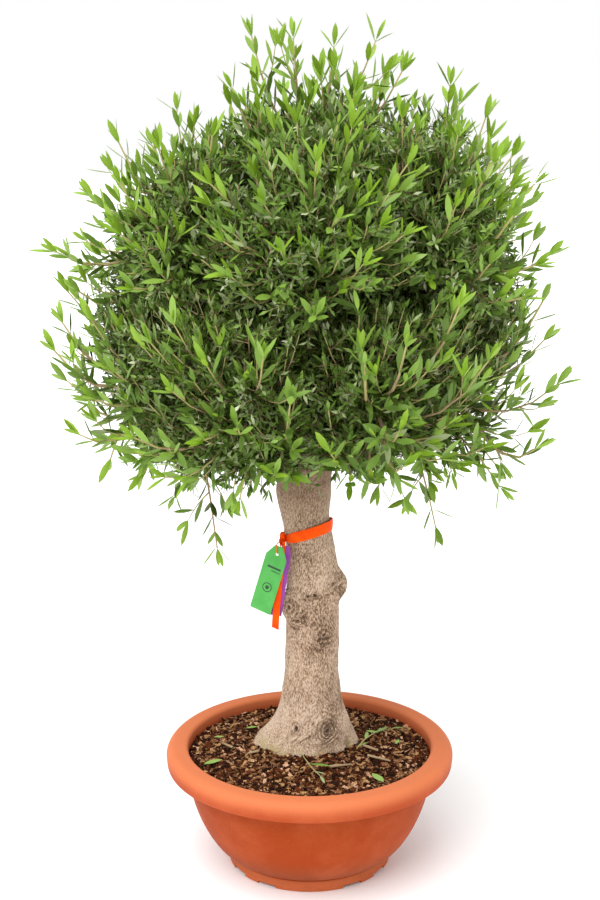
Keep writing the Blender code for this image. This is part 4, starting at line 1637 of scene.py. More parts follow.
EVERYWHERE = (-1.0, 1.0)
SMALL = (0.024, 0.0037)
THIN = (0.0022, 0.0009)
# Deeper storeys start darker in tone: partly age, partly painted shade inside the crown.
OUTER = Storey(
    "outer", OUTER_LEAF, 210, EVERYWHERE, (1.0, 1.0), pairs=5, side_shoots=2, spurs=6,
    leaf=(0.052, 0.0064), spacing=0.035, radii=(0.0036, 0.0014), age=0.0,
)
MIDDLE = Storey(
    "middle", MIDDLE_LEAF, 560, EVERYWHERE, (0.76, 0.94), pairs=3, side_shoots=1, spurs=6,
    leaf=(0.033, 0.0046), spacing=0.020, radii=(0.0027, 0.0011), age=2.0,
)
INNER = Storey("inner", INNER_LEAF, 640, EVERYWHERE, (0.46, 0.88), 2, 0, 8, SMALL, 0.016, THIN, 3.4)
BELT = Storey("belt", INNER_LEAF, 940, (-0.6, 0.5), (0.52, 0.90), 2, 0, 9, SMALL, 0.016, THIN, 3.2)
SEAM = Storey(
    "seam", INNER_LEAF, 1300, (-0.04, 0.24), (0.50, 0.88), 2, 0, 8, SMALL, 0.016, THIN, 3.6
)
STOREYS = (OUTER, MIDDLE, INNER, BELT, SEAM)
Goal = tuple[Storey, int, Vector]  # a shoot's storey, its number there, and its end
SPURS = "spurs"
AGE_AND_SHADE_TONES = (
    LeafTone.FRESH, LeafTone.BRIGHT, LeafTone.GREEN, LeafTone.MATURE, LeafTone.DEEP,
    LeafTone.INNER, LeafTone.SHADE,
)


@dataclass
class Crown:
    """The foliage: shoots from each mass's fork in storeys, side shoots, spurs, and leaves.

    The underside and the crest are how far down or up the crown begins to flatten, and how fast.
    A leading shoot is the bearing that it is seen at, and its reach; the depths are dealt in turn.
    While a mass grows, twigs and beds hold its wood and leaves, and draw is its shoot's own
    random numbers.
    """

    boughs: Boughs
    reach: float = 0.462
    skew: float = 0.055
    spread: float = 0.050
    underside: Pair = (0.80, 0.60)
    crest: Pair = (0.80, 0.20)
    clearance: float = 0.11
    leading: tuple[Pair, ...] = (
        (6, 0.47), (13, 0.52), (21, 0.47), (28, 0.54), (38, 0.52), (48, 0.53), (59, 0.53),
        (67, 0.52), (75, 0.55), (84, 0.53), (93, 0.54), (102, 0.56), (109, 0.47), (122, 0.48),
        (137, 0.51), (153, 0.51), (166, 0.53), (174, 0.50), (186, 0.52), (195, 0.54),
        (205, 0.53), (218, 0.53), (228, 0.52), (238, 0.54), (252, 0.56), (288, 0.45),
        (298, 0.57), (307, 0.51), (315, 0.57), (323, 0.53), (332, 0.55), (340, 0.49),
        (347, 0.53), (355, 0.50),
    )
    leading_depths: tuple[float, ...] = (-0.12, -0.03, -0.08, 0.02)
    lowest: float = -0.85
    jitter: float = 0.05
    curl: float = 0.30
    limb_curl: float = 0.48
    steps: int = 6
    hang_below: float = -0.32
    side_radii: Pair = (0.0019, 0.0010)
    spur_radii: Pair = (0.0012, 0.0007)
    stem_radii: Pair = (0.0090, 0.0060)
    limb_radii: Pair = (0.0062, 0.0018)
    limb_every: int = 6
    springs: Pair = (0.25, 0.97)
    young_length: float = 0.10
    spur_leaf: Pair = (0.0195, 0.0031)
    spur_spacing: float = 0.0080
    spur_age_and_shade: float = 3.6
    spur_splay: float = 50.0
    spur_lengths: Pair = (0.035, 0.085)
    spur_young: float = 0.02
    head_clearance: float = 0.022
    shell: float = 0.91
    pale_under: float = 0.030
    glint_share: float = 0.12
    grey_and_glint_small: float = 0.17
    grey_large: float = 0.02
    rosette: tuple[Pair, ...] = ((15, 0.74), (28, 1.0))
    later_pairs: Pair = (38, 0.96)
    rosette_gap: float = 0.005
    leaf_scatter: float = 0.12
    leaf_lift: float = 0.16
    leaf_twist: float = 0.35
    twigs: Stock | None = None
    beds: dict[str, LeafBed] = field(default_factory=dict)
    draw: Random = field(default_factory=Random)

    def reach_towards(self, direction: Vector, strength: float) -> float:
        """How far the crown reaches.

        Args:
            direction: The way from its centre.
            strength: How strong the shoot is, from 0 to 1.

        Returns:
            The distance from its centre.
        """
        low, lift = self.underside
        high, fall = self.crest
        reach = self.reach + self.skew * direction.x * direction.z + self.spread * strength ** 2
        return reach - lift * max(-direction.z - low, 0) - fall * max(direction.z - high, 0)

    def goals(self, storey: Storey) -> Iterator[Vector]:
        """Where each shoot of a storey ends, from the crown's centre.

        Args:
            storey: The storey.

        Yields:
            Each end.
        """
        named = []
        if storey is OUTER:
            for (bearing, reach), depth in zip(self.leading, itertools.cycle(self.leading_depths)):
                seen = math.radians(bearing)
                goal = Vector((reach * math.cos(seen), depth, reach * math.sin(seen)))
                named.append(goal.normalized())
                yield goal
        draw = Random(SEED)
        low, high = storey.belt
        for direction in even_directions(storey.shoots):
            strength = draw.random()
            direction = (direction + scatter(draw, self.jitter)).normalized()
            if direction.z < self.lowest or not low <= direction.z <= high:
                continue
            if any(direction.angle(other) < self.clearance for other in named):
                continue
            yield self.reach_towards(direction, strength) * draw.uniform(*storey.ends) * direction

    def sag(self, fork: Vector, end: Vector, curl: float) -> Vector:
        """How far a shoot's end turns up, or down where it hangs, by a share of its length."""
        hangs = end.z - self.boughs.crown_centre.z < self.hang_below
        return (-0.6 * curl if hangs else curl) * (end - fork).length * UP

    def route(self, fork: Vector, end: Vector, curl: float, steps: int) -> Wood:
        """A shoot's line: outwards, then up or down.

        Args:
            fork: Where it springs.
            end: Where its wood ends.
            curl: How much it turns.
            steps: How many stretches it has.

        Returns:
            The line.
        """
        sag = self.sag(fork, end, curl)
        third = (end - fork) / 3
        handles = (fork + third - sag / 2, fork + 2 * third - sag)
        return Wood(geometry.interpolate_bezier(fork, *handles, end, steps + 1))

    def tone(self, age: float, point: Vector, length: float) -> LeafTone:
        """The tone of a leaf: fresh at the tips, darker with age; painted light at the top and
        outside, painted shade low down, further in and in the front middle.

        Args:
            age: How old the leaf is, in pairs from a tip, with painted shade for deeper storeys.
            point: Where it is.
            length: How long it is.

        Returns:
            The tone.
        """
        out = (point - self.boughs.crown_centre) / self.reach
        small = length < self.pale_under
        # painted shade further into the crown, painted light at its outside
        age += 4.5 * max(0.88 - out.length, 0.0) - 2.0 * max(out.length - 0.90, 0.0)
        # painted light at the top, painted shade low down
        age += self.draw.uniform(-0.9, 0.9) - 1.3 * max(out.z, -0.25) - 0.42
        # painted shade in the crown's middle as seen from the front
        age += 1.4 * max(-out.y - 0.60, 0.0)
        # small leaves are dealt grey undersides and painted glints
        if self.draw.random() < (self.grey_and_glint_small if small else self.grey_large):
            pale = small and self.draw.random() < self.glint_share
            return LeafTone.PALE if pale else LeafTone.GREY
        return AGE_AND_SHADE_TONES[min(max(round(age * 0.86), 0), len(AGE_AND_SHADE_TONES) - 1)]

    def leaf_pair(
        self, bed: LeafBed, place: tuple[Vector, Vector], turn: float, splay: float, size: Pair,
        age: float,
    ) -> None:
        """Two opposite leaves.

        Args:
            bed: What they go into.
            place: Where they spring, and the twig's heading there.
            turn: How far they are turned about it, in radians.
            splay: How far they stand off it, in degrees.
            size: Their length and half their width.
            age: How old they are, in pairs from a tip, with painted shade for deeper storeys.
        """
        point, heading = place
        side, _ = square_to(heading, turn)
        tone = self.tone(age, point, size[0])
        for hand in (1, -1):
            angle = math.radians(splay + self.draw.uniform(-10, 10))
            along = (math.cos(angle) * heading + hand * math.sin(angle) * side).normalized()
            along = along + self.leaf_lift * UP + scatter(self.draw, self.leaf_scatter)
            along.normalize()
            upper = heading - heading.dot(along) * along
            upper = (upper + self.leaf_twist * (UP - UP.dot(along) * along)).normalized()
            scale = self.draw.uniform(0.80, 1.14)
            length = size[0] * scale
            bend = length * self.draw.uniform(-0.16, 0.07)
            half = size[1] * scale * self.draw.uniform(0.88, 1.1)
            bed.add(point, along, upper, (length, half, bend), tone)

    def dress_shoot(self, wood: Wood, storey: Storey, pairs: int) -> None:
        """Leaves on a shoot: a rosette at its tip, then opposite pairs, each turned a quarter.

        Args:
            wood: The shoot.
            storey: The storey that it is in.
            pairs: How many pairs follow the rosette.
        """
        bed, turn = self.beds[storey.name], self.draw.uniform(0, math.pi)
        back = 0.0
        for step in range(pairs + 2):
            first = step < len(self.rosette)
            splay, share = self.rosette[step] if first else self.later_pairs
            size = (storey.leaf[0] * share, storey.leaf[1] * share)
            quarter = turn + step * math.pi / 2
            self.leaf_pair(bed, wood.at(back), quarter, splay, size, step + storey.age)
            back += storey.spacing * self.draw.uniform(0.75, 1.2) if step else self.rosette_gap
            if back > wood.length:
                break

    def add_twig(self, wood: Wood, radii: Pair, sides: int, young: float) -> None:
        """Adds a twig whose last stretch is young wood.

        Args:
            wood: Its line.
            radii: Its radius at the foot and the tip.
            sides: How many sides it has.
            young: How long its young end is; the stretch before it is tan and the rest old.
        """
        points, triangles = wood.shape(*radii, sides)
        reach = np.cumsum(wood.lengths[::-1])[::-1]
        bands = [0 if left <= young else 1 if left <= 2.4 * young else 2 for left in reach]
        slots = [bands[min(i // (2 * sides), len(bands) - 1)] for i in range(len(triangles))]
        self.twigs.add(points, triangles, np.array(slots))

    def side_shoots_of(self, wood: Wood, storey: Storey, limit: float) -> Iterator[Wood]:
        """Finer shoots off a main one.

        Args:
            wood: The main shoot.
            storey: The storey that it is in.
            limit: The furthest that they may reach from the crown's centre.

        Yields:
            Each of them.
        """
        turn = self.draw.uniform(0, math.tau)
        for k in range(storey.side_shoots):
            back = 0.100 + 0.055 * k + self.draw.uniform(-0.015, 0.015)
            if back > wood.length * 0.9:
                return
            point, heading = wood.at(back)
            side, _ = square_to(heading, turn + k * 2.4)
            angle = math.radians(self.draw.uniform(30, 48))
            along = (math.cos(angle) * heading + math.sin(angle) * side + 0.30 * UP).normalized()
            length = self.draw.uniform(0.045, 0.075) + 0.20 * back
            for shorter in (1.0, 0.75, 0.5):
                end = point + shorter * length * along
                if (end - self.boughs.crown_centre).length < limit - 0.6 * storey.leaf[0]:
                    yield self.route(point, end, 0.22, 4)
                    break

    def spurs_of(self, wood: Wood, count: int) -> Iterator[Wood]:
        """Short leafy spurs off a shoot's inner wood.

        Args:
            wood: The shoot.
            count: How many.

        Yields:
            Each of them.
        """
        for _ in range(count):
            point, heading = wood.at(wood.length * self.draw.uniform(0.10, 0.90))
            side, _ = square_to(heading, self.draw.uniform(0, math.tau))
            angle = math.radians(self.draw.uniform(30, 80))
            along = (math.cos(angle) * heading + math.sin(angle) * side).normalized()
            yield Wood([point, point + self.draw.uniform(*self.spur_lengths) * along])

    def dress_spur(self, wood: Wood) -> None:
        """Small crowded leaves on a spur.

        Args:
            wood: The spur.
        """
        bed, turn = self.beds[SPURS], self.draw.uniform(0, math.pi)
        pairs = max(2, round(wood.length / self.spur_spacing))
        for step in range(pairs):
            # spurs deep in the crown start darker: partly painted shade
            age = self.spur_age_and_shade + self.draw.uniform(-0.6, 0.8)
            place = wood.at(step * wood.length / pairs)
            depth = (place[0] - self.boughs.crown_centre).length / self.reach
            grown = 1 + 1.1 * min(max(0.78 - depth, 0.0), 0.4)
            size = (self.spur_leaf[0] * grown, self.spur_leaf[1] * grown)
            self.leaf_pair(bed, place, turn + step * math.pi / 2, self.spur_splay, size, age)

    def clear_of_trunk(self, wood: Wood) -> bool:
        """Measures a twig against the trunk below its head.

        Args:
            wood: The twig.

        Returns:
            Whether it keeps off.
        """
        trunk = self.boughs.trunk
        for point in (point for point in wood.points if point.z < trunk.head_top):
            middle = trunk.centre(point.z)
            away = math.hypot(point.x - middle.x, point.y - middle.y)
            if away < trunk.between(point.z, 3) + self.head_clearance:
                return False
        return True

    def within(self, point: Vector) -> bool:
        """Whether a spur's tip stays inside the leafy shell."""
        out = point - self.boughs.crown_centre
        return out.length < self.shell * self.reach_towards(out.normalized(), 0.0)

    def grow_shoot(self, storey: Storey, start: Vector, goal: Vector, limb: bool) -> None:
        """A shoot with its side shoots, spurs and leaves.

        Args:
            storey: The storey that it is in.
            start: Where it springs.
            goal: Where its leaves end.
            limb: Whether it is one of the strong ones.
        """
        curl = self.limb_curl if limb else self.curl * self.draw.uniform(0.5, 1.4)
        heading = (goal - start) / 3 + self.sag(start, goal, curl)
        end = goal - 0.9 * storey.leaf[0] * heading.normalized()
        wood = self.route(start, end, curl, self.steps)
        if not self.clear_of_trunk(wood):
            return
        self.add_twig(wood, self.limb_radii if limb else storey.radii, 4, self.young_length)
        self.dress_shoot(wood, storey, storey.pairs)
        limit = max((goal - self.boughs.crown_centre).length, self.reach)
        for finer in self.side_shoots_of(wood, storey, limit):
            if self.clear_of_trunk(finer):
                self.add_twig(finer, self.side_radii, 3, self.young_length)
                self.dress_shoot(finer, storey, storey.pairs - 1)
        for spur in self.spurs_of(wood, storey.spurs):
            if self.clear_of_trunk(spur) and self.within(spur.points[-1]):
                self.add_twig(spur, self.spur_radii, 3, self.spur_young)
                self.dress_spur(spur)

    def grow_mass(self, mass: Mass, goals: Sequence[Goal]) -> None:
        """One mass's twigs, outer leaves and inner leaves, as a piece of each.

        Args:
            mass: The mass.
            goals: Its shoots' storeys, numbers and ends.
        """
        finishes = materials(LeafTone)
        self.beds = {storey.name: LeafBed(storey.form) for storey in STOREYS}
        self.beds[SPURS] = LeafBed(SMALL_LEAF)
        self.twigs = Stock("twigs_" + mass.name, materials(WoodTone))
        entry, _ = self.boughs.entry(mass)
        fork = self.boughs.fork(mass)
        stem = Wood([entry.lerp(fork, share) for share in (0, 0.33, 0.66, 1.0)])
        self.add_twig(stem, self.stem_radii, 8, 0.0)
        for storey, number, goal in goals:
            self.draw = Random(f"{storey.name} {number}")
            start = entry.lerp(fork, self.draw.uniform(*self.springs))
            limb = storey is OUTER and number % self.limb_every == 0
            end = self.boughs.crown_centre + goal
            self.grow_shoot(storey, fork if limb else start, end, limb)
        leaves = Stock("leaves_" + mass.name, finishes)
        small = Stock("inner_leaves_" + mass.name, finishes)
        for name, bed in self.beds.items():
            bed.fill(leaves if name in (OUTER.name, MIDDLE.name) else small)
        for stock in (leaves, small, self.twigs):
            dress(stock.piece(), "foliage", "foliage_" + mass.name)

    def build(self) -> None:
        """Grows every mass."""
        masses = self.boughs.masses()
        dealt: dict[str, list[Goal]] = {mass.name: [] for mass in masses}
        for storey in STOREYS:
            for number, goal in enumerate(self.goals(storey)):
                mass = max(masses, key=lambda m: m.direction().dot(goal))
                dealt[mass.name].append((storey, number, goal))
        for mass in masses:
            self.grow_mass(mass, dealt[mass.name])


@dataclass(frozen=True)
class Sprig:
    """A fallen stem: the places that it passes, its radii, and its leaves.

    Each leaf is how far along it springs, its side, how far it turns out, its length and tone.
    """

    path: tuple[Pair, ...]
    radii: Pair
    leaves: tuple[tuple[float, int, float, float, LeafTone], ...]


@dataclass
class Litter:
    """What has fallen on the compost: leaves, a green sprig, a thin pale stem and a few sticks.

    A leaf is its place, bearing and length, and a stick is its two ends.
    """

    compost: Compost
    leaves: tuple[Four, ...] = (
        (-0.180, -0.070, 215.0, 0.044), (0.126, -0.140, -64.0, 0.048),
        (-0.112, 0.088, 190.0, 0.026), (-0.205, 0.045, 20.0, 0.024),
        (0.120, 0.062, -20.0, 0.030), (0.190, 0.030, 250.0, 0.022),
    )
    sticks: tuple[Four, ...] = (
        (0.110, -0.010, 0.142, -0.040), (0.120, -0.062, 0.166, -0.080),
        (-0.106, -0.040, -0.128, -0.052), (0.040, -0.118, 0.086, -0.104),
        (-0.160, -0.020, -0.185, 0.010),
    )
    sprigs: tuple[Sprig, ...] = (
        Sprig(
            ((0.098, -0.031), (0.116, 0.008), (0.140, 0.046), (0.176, 0.088)), (0.0016, 0.0008),
            (
                (0.00, 1, 0.30, 0.034, LeafTone.GREEN), (0.30, -1, 0.55, 0.030, LeafTone.GREY),
                (0.42, 1, 0.25, 0.044, LeafTone.GREEN), (0.68, -1, 0.40, 0.036, LeafTone.BRIGHT),
                (0.92, 1, 0.50, 0.026, LeafTone.GREEN),
            ),
        ),
        Sprig(
            (
                (-0.014, -0.062), (-0.011, -0.084), (-0.004, -0.110), (0.006, -0.134),
                (0.021, -0.158),
            ),
            (0.0011, 0.0011),
            (
                (0.00, 1, 0.25, 0.030, LeafTone.GREY), (0.16, -1, 0.80, 0.022, LeafTone.GREY),
                (0.46, -1, 1.80, 0.046, LeafTone.GREEN),
            ),
        ),
    )
    lift: float = 0.009
    arch: float = 0.006
    stick_radii: Pair = (0.0030, 0.0020)

    def lying(self, x: float, y: float) -> Vector:
        """A point just over the chips."""
        return Vector((x, y, self.compost.ground(x, y) + self.lift))

    def twig(self, path: Sequence[Pair], lift: float) -> Wood:
        """A twig that lies on the chips from place to place, its middle lifted."""
        rises = [lift * math.sin(math.pi * i / (len(path) - 1)) for i in range(len(path))]
        return Wood([self.lying(*place) + rise * UP for place, rise in zip(path, rises)])

    def add_leaf(
        self, bed: LeafBed, base: Vector, along: Vector, size: Three, tone: LeafTone
    ) -> None:
        """Adds a leaf that lies with its upper side up."""
        bed.add(base, along, (UP - UP.dot(along) * along).normalized(), size, tone)

    def build(self) -> None:
        """Builds the litter's leaves and wood."""
        wood = Stock("fallen_sticks", materials(WoodTone))
        bed = LeafBed(OUTER_LEAF)
        for x, y, bearing, length in self.leaves:
            size = (length, length * 0.18, -0.004)
            self.add_leaf(bed, self.lying(x, y), level(bearing, 6.0), size, LeafTone.BRIGHT)
        for x, y, x_end, y_end in self.sticks:
            shape = self.twig(((x, y), (x_end, y_end)), 0.0).shape(*self.stick_radii, 6)
            wood.add(*shape, np.full(len(shape[1]), 1))
        for sprig in self.sprigs:
            line = self.twig(sprig.path, self.arch)
            shape = line.shape(*sprig.radii, 5)
            wood.add(*shape, np.full(len(shape[1]), 0))
            for share, hand, turn, length, tone in sprig.leaves:
                point, heading = line.at(line.length * share)
                side = heading.cross(UP).normalized() * hand
                along = (heading + side * turn + 0.12 * UP).normalized()
                self.add_leaf(bed, point, along, (length, length * 0.11, -0.003), tone)
        leaves = Stock("fallen_leaves", materials(LeafTone))
        bed.fill(leaves)
        dress(leaves.piece(), "foliage")
        dress(wood.piece(), "bark")


# ---- Ribbon and labels -----------------------------------------------------------

@dataclass
class Ribbon:
    """The ribbon round the trunk's waist, its knot, its free end, and the tie to the labels."""

    trunk: Trunk
    height: float = 0.707
    tilt: float = 16.5
    lift: float = 7.0
    half_width: float = 0.0115
    thickness: float = 0.0010
    clearance: float = 0.0005
    knot_bearing: float = 204.0
    knot_size: Three = (0.012, 0.013, 0.030)
    gap: float = 0.0003
    tail_width: float = 0.0145
    tail_end: Vector = field(default_factory=lambda: Vector((-0.0705, -0.0125, 0.5055)))
    tail_cut: float = 0.00375
    tail_lead: Vector = field(default_factory=lambda: Vector((-0.002, 0.0, -0.050)))
    tail_depth: float = -0.0122
    tail_across: float = 0.0038
    tie_radius: float = 0.0010
    tie_reach: float = 0.004
    tie_turn: float = 0.002
    hole_reach: float = 0.0024
    steps: int = 144
    finish: Material = field(default_factory=lambda: RibbonFinish().material())

    def middle(self, bearing: float) -> float:
        """Tilts the band, which climbs to the right and to the front.

        Args:
            bearing: A bearing in degrees.

        Returns:
            The band's height there.
        """
        radius, turn = self.trunk.stations[6][3], math.radians(bearing)
        across = radius * math.cos(turn) * math.tan(math.radians(self.tilt))
        return self.height + across - radius * math.sin(turn) * math.tan(math.radians(self.lift))

    def out(self, bearing: float) -> float:
        """Measures the widest that the trunk gets under the band.

        Args:
            bearing: A bearing in degrees.

        Returns:
            The band's distance from the trunk's middle there, with a little slack.
        """
        middle, way = self.middle(bearing), level(bearing)
        reaches = []
        for i in range(-2, 3):
            height = middle + i * self.half_width / 2
            away = self.trunk.centre(height) + self.trunk.radius(bearing, height) * way
            reaches.append((away - self.trunk.centre(middle)).dot(way))
        return max(reaches) + self.clearance

    def knot_centre(self) -> Vector:
        """The knot's middle, on the band's left."""
        out = self.out(self.knot_bearing) + self.thickness + self.knot_size[0] / 2 + self.gap
        return self.trunk.centre(self.middle(self.knot_bearing)) + out * level(self.knot_bearing)

    def dress_grid(
        self, name: str, rows: Sequence, node: str, degrees: float, capped: bool = False
    ) -> None:
        """Dresses a grid as a piece of the ribbon."""
        mesh = soften(grid_mesh(name, rows, capped), degrees)
        dress(new_object(name, mesh, self.finish), "ribbon", node)

    def band(self) -> None:
        """Builds the band: slightly crowned, gathered towards the knot."""
        shares = [-1 + i / 3 for i in range(7)]
        rows = []
        for i in range(self.steps + 1):
            bearing = 360 * (i % self.steps) / self.steps
            middle, radius = self.middle(bearing), self.out(bearing)
            gather = math.exp(-((off_by(bearing, self.knot_bearing) / 20) ** 2))
            wide = self.half_width * (1 - 0.38 * gather)
            row = []
            for share, outer in [(s, 1) for s in shares] + [(s, 0) for s in shares[::-1]]:
                crown = 0.0007 * (1 - share * share) + 0.0012 * gather * math.cos(share * 9)
                wave = 0.0004 * math.sin(bearing * 0.21 + share * 2)
                away = radius + 0.0009 + crown + wave + outer * 0.0006
                point = self.trunk.centre(middle) + away * level(bearing)
                row.append(point + share * wide * UP)
            rows.append(row)
        self.dress_grid("waist_ribbon", rows, "ribbon_band", 60.0)

    def knot(self) -> None:
        """Builds the knot: a lump of folds that wind round it."""
        centre = self.knot_centre()
        turn = Matrix.Rotation(math.radians(self.knot_bearing), 3, "Z")
        deep, wide, tall = self.knot_size
        rows, layers, around = [], 34, 48
        for i in range(layers + 1):
            angle = math.pi * i / layers
            waist = 1 - 0.22 * math.exp(-(((math.cos(angle) - 0.25) / 0.22) ** 2))
            row = []
            for j in range(around):
                spin = math.tau * j / around
                fold = 1 + 0.13 * math.sin(3 * spin + 9 * math.cos(angle)) * math.sin(angle)
                flat = math.sin(angle) ** 0.7 * fold * waist
                out = (deep * 0.56 * flat * math.cos(spin), wide * 0.58 * flat * math.sin(spin))
                row.append(centre + turn @ Vector((*out, tall * 0.50 * math.cos(angle))))
            rows.append(row)
        self.dress_grid("ribbon_twist", rows[::-1], "ribbon_knot", 180.0)

    def tail(self) -> None:
        """Builds the free end, which hangs between the labels and is cut on a slant."""
        start = self.knot_centre() + Vector((self.tail_across, 0.002 - self.knot_size[1] / 2, 0))
        hang = Vector((start.x, self.tail_depth, start.z - 0.0015))
        handles = (hang + self.tail_lead, self.tail_end + 0.05 * UP)
        line = [start, *geometry.interpolate_bezier(hang, *handles, self.tail_end, 30)]
        shares = (-1, -0.5, 0, 0.5, 1)
        rows = []
        for i, point in enumerate(line):
            half = self.tail_width / 2 * min(1.0, 0.35 + 0.029 * i)
            row = []
            for share, back in [(s, 0) for s in shares] + [(s, 1) for s in shares[::-1]]:
                deep = 0.0012 * math.sin(i * 0.35 + share * 1.3) + 0.0009 * share * share
                cut = self.tail_cut * (1 - share) if i == len(line) - 1 else 0.0
                row.append(point + Vector((half * share, deep + back * 0.0005, cut)))
            rows.append(row)
        self.dress_grid("ribbon_end", rows, "ribbon_tail", 60.0, capped=True)

    def tie(self, labels: Labels) -> None:
        """Builds a thin loop through both labels' holes, round to the knot and over their tops.

        Args:
            labels: The labels.
        """
        hung = labels.hole + (labels.hole_radius - self.tie_radius - 2 * self.gap) * UP
        threaded = [
            hung + Vector((label.across, label.depth + side * self.hole_reach, 0))
            for label in labels.labels for side in (-1, 1)
        ]
        over = labels.hole + (max(label.drop for label in labels.labels) + self.tie_reach) * UP
        past_knot = self.knot_size[0] / 2 + self.tie_radius
        route = [
            *threaded,
            self.knot_centre() + past_knot * level(self.knot_bearing),
            over + Vector((self.tie_reach, threaded[-1].y, 0)),
            over + Vector((-self.tie_turn, threaded[0].y, 0)),
        ]
        curve = bpy.data.curves.new("label_tie_loop", "CURVE")
        curve.dimensions = "3D"
        curve.bevel_depth = self.tie_radius
        curve.bevel_resolution = 3
        spline = curve.splines.new("NURBS")
        spline.points.add(2 * len(route) - 1)
        for i, point in enumerate(route):
            after = route[(i + 1) % len(route)]
            spline.points[2 * i].co = (*point.lerp(after, 0.06), 1)
            spline.points[2 * i + 1].co = (*point.lerp(after, 0.94), 1)
        spline.use_cyclic_u = True
        spline.order_u = 3
        mesh = soften(shaped_mesh(new_object("tie_curve", curve)))
        dress(new_object("label_loop", mesh, self.finish), "ribbon", "label_tie")

    def build(self, labels: Labels) -> None:
        """Builds the ribbon's pieces.

        Args:
            labels: The labels that the tie holds.
        """
        self.band()
        self.knot()
        self.tail()
        self.tie(labels)


@dataclass(frozen=True)
class Label:
    """One label: its outline, how it leans and turns, and where it hangs.

    Its point is half its top edge's width. Its shoulder and drop are how far under that edge the
    full width and the hole are. Its middle is how far right of the hole the card's middle is.
    """

    name: str
    width: float
    length: float
    point: float
    shoulder: float
    drop: float
    lean: float
    turn: float
    middle: float
    across: float
    depth: float
    finish: LabelFinish
    ink: PlainFinish
    lines: tuple[Three, ...]
    mark: Pair | None = None


@dataclass
class Labels:
    """Two plain plastic labels on one tie, with ruled lines and a round mark."""

    hole: Vector = field(default_factory=lambda: Vector((-0.0645, 0.0, 0.6710)))
    hole_radius: float = 0.0030
    thickness: float = 0.0012
    bevel: float = 0.0002
    corner: float = 0.0022
    half_ink: float = 0.00006
    labels: tuple[Label, ...] = (
        Label(
            "green_label", 0.0470, 0.1490, 0.0090, 0.0245, 0.0180, 17.2, 22.0, 0.0,
            -0.0014, -0.0210,
            LabelFinish("green_card", paint(95, 184, 93), paint(86, 174, 84)),
            PlainFinish("dark_green_ink", paint(26, 70, 36), 0.5),
            ((-0.028, 0.030, 0.0046), (-0.037, 0.020, 0.0020)),
            (-0.076, 0.0105),
        ),
        Label(
            "violet_label", 0.0245, 0.1510, 0.0075, 0.0180, 0.0150, 8.5, 0.0, 0.0072,
            0.0075, -0.0063,
            LabelFinish("violet_card", paint(172, 86, 190), paint(154, 74, 172)),
            PlainFinish("dark_violet_ink", paint(70, 30, 84), 0.5),
            ((-0.036, 0.008, 0.0020), (-0.044, 0.006, 0.0014)),
        ),
    )

    def outline(self, label: Label) -> list[Pair]:
        """Draws a luggage label round its hole, with its lower corners rounded.

        Args:
            label: The label.

        Returns:
            Its outline.
        """
        half, top = label.width / 2, label.drop
        foot, r = top - label.length, self.corner
        points = [(-label.point, top), (label.point, top), (half, top - label.shoulder)]
        points += arc((half - r, foot + r), r, 0, -90, 6)
        points += arc((-half + r, foot + r), r, -90, -180, 6)
        points.append((-half, top - label.shoulder))
        return [(x + label.middle, y) for x, y in points]

    def flat(self, name: str, outlines: Sequence[Sequence[Pair]], half: float) -> Mesh:
        """A flat plate cut to outlines.

        Args:
            name: The curve's name.
            outlines: The outer outline, then any holes, or several separate outlines.
            half: Half the plate's thickness.

        Returns:
            The mesh, in the plate's own plane.
        """
        curve = bpy.data.curves.new(name, "CURVE")
        curve.dimensions = "2D"
        curve.fill_mode = "BOTH"
        curve.bevel_depth = min(self.bevel, half / 2)
        curve.offset = -curve.bevel_depth
        curve.extrude = half - curve.bevel_depth
        for outline in outlines:
            spline = curve.splines.new("POLY")
            spline.points.add(len(outline) - 1)
            for knot, (x, y) in zip(spline.points, outline):
                knot.co = (x, y, 0, 1)
            spline.use_cyclic_u = True
        return soften(shaped_mesh(new_object(name, curve)), 30.0)

    def hang(self, label: Label, forward: float) -> Matrix:
        """Where a label's plane is, moved forward a little.

        Args:
            label: The label.
            forward: How far forward.

        Returns:
            The placing.
        """
        place = Matrix.Translation(self.hole + Vector((label.across, label.depth, 0)))
        turn = Matrix.Rotation(-math.radians(label.turn), 4, "Z")
        ahead = Matrix.Translation((0, -forward, 0))
        lean = Matrix.Rotation(math.radians(label.lean), 4, "Y")
        return place @ (turn @ ahead) @ (lean @ Matrix.Rotation(math.radians(90), 4, "X"))

    def marks(self, label: Label) -> list[list[Pair]]:
        """Draws the ruled lines, and the ring where there is one.

        Args:
            label: The label.

        Returns:
            Their outlines.
        """
        right = 0.75 * label.width / 2 - label.middle
        found = []
        for height, length, thick in label.lines:
            left, foot = right - length, height - thick
            found.append([(left, height), (right, height), (right, foot), (left, foot)])
        if label.mark:
            height, size = label.mark
            middle = (0.0, height)
            found.append(arc(middle, size, 0, 351, 39))
            found.append(arc(middle, size - 0.0020, 0, 351, 39))
            found.append(arc(middle, size * 0.42, 0, 345, 23))
        return found

    def build(self) -> None:
        """Builds both labels and what is ruled on them."""
        half, hole = self.thickness / 2, arc((0.0, 0.0), self.hole_radius, 0, 345, 23)
        for label in self.labels:
            card = self.flat(label.name + "_card", [self.outline(label), hole], half)
            made = new_object(label.name + "_card", card, label.finish.material())
            made.matrix_world = self.hang(label, 0.0)
            dress(made, label.name, label.name)
            ruling = self.flat(label.name + "_ruling", self.marks(label), self.half_ink)
            made = new_object(label.name + "_ruling", ruling, label.ink.material())
            made.matrix_world = self.hang(label, half)
            dress(made, label.name)


# ---- Studio ----------------------------------------------------------------------

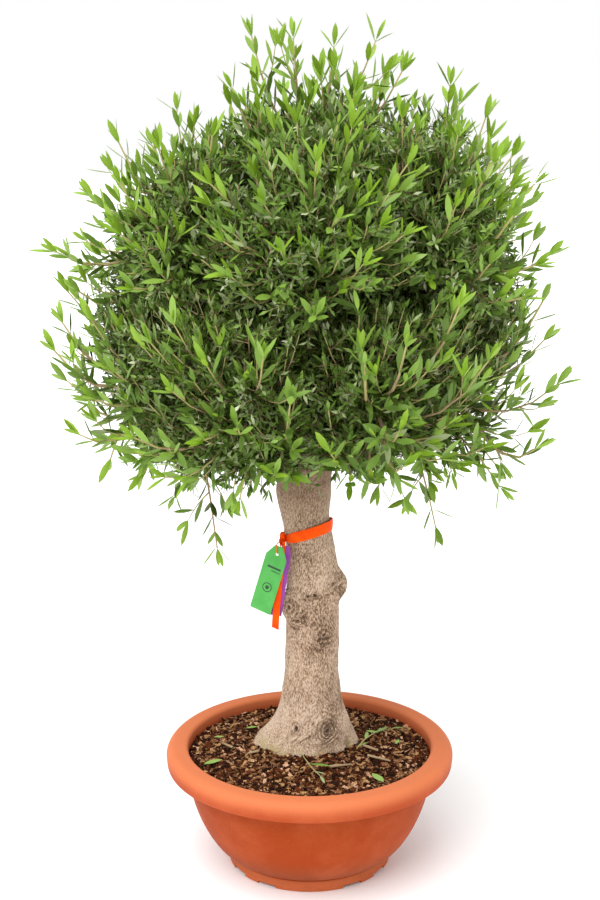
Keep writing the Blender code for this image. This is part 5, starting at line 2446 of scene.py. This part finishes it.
@dataclass
class Studio:
    """A pale floor, soft light, and the camera."""

    distance: float = 3.0
    height: float = 1.575
    pitch: float = 12.98
    lens: float = 61.2
    shift: float = -0.0106
    floor_size: float = 60.0
    floor_tone: float = 0.96
    sky: float = 1.0
    key: float = 2.6
    key_width: float = 50.0
    key_from: Pair = (238.0, 60.0)

    def camera(self) -> None:
        """Places the camera."""
        data = bpy.data.cameras.new("camera")
        data.sensor_width = 36.0
        data.lens = self.lens
        data.shift_x = self.shift
        data.clip_end = 200.0
        camera = new_object("camera", data)
        camera.location = (0.0, -self.distance, self.height)
        camera.rotation_euler = (math.radians(90 - self.pitch), 0.0, 0.0)
        bpy.context.scene.camera = camera

    def sun(self) -> None:
        """One broad soft light, from high up on the left and a little in front."""
        data = bpy.data.lights.new("key", "SUN")
        data.angle = math.radians(self.key_width)
        data.energy = self.key
        made = new_object("key", data)
        made.rotation_mode = "QUATERNION"
        made.rotation_quaternion = (-level(*self.key_from)).to_track_quat("-Z", "Y")

    def floor(self) -> None:
        """A plain pale floor."""
        bm = bmesh.new()
        bmesh.ops.create_grid(bm, x_segments=1, y_segments=1, size=self.floor_size / 2)
        mesh = bpy.data.meshes.new("floor")
        bm.to_mesh(mesh)
        bm.free()
        grey = (self.floor_tone, self.floor_tone, self.floor_tone, 1.0)
        pale = PlainFinish("pale_floor", grey, 0.9, 0.1)
        new_object("floor", mesh, pale.material())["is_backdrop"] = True

    def build(self) -> None:
        """Sets up the studio."""
        scene = bpy.context.scene
        scene.view_settings.view_transform = "Standard"
        world = bpy.data.worlds.new("studio")
        world.use_nodes = True
        sky = world.node_tree.nodes["Background"]
        sky.inputs["Color"].default_value = (1.0, 1.0, 1.0, 1.0)
        sky.inputs["Strength"].default_value = self.sky
        scene.world = world
        self.sun()
        self.floor()
        self.camera()


def main() -> None:
    """Builds every sub-assembly in order."""
    logging.basicConfig(level=logging.INFO, format="%(name)s: %(message)s")
    Studio().build()
    Pot().build()
    compost = Compost()
    compost.build()
    Litter(compost).build()
    trunk = Trunk()
    trunk.build()
    boughs = Boughs(trunk)
    boughs.build()
    labels = Labels()
    labels.build()
    Ribbon(trunk).build(labels)
    Crown(boughs).build()
    boxes = {"cad": cad_box, "visual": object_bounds()}
    {name: [list(corner) for corner in box] for name, box in boxes.items()}


if __name__ == "__main__":
    main()
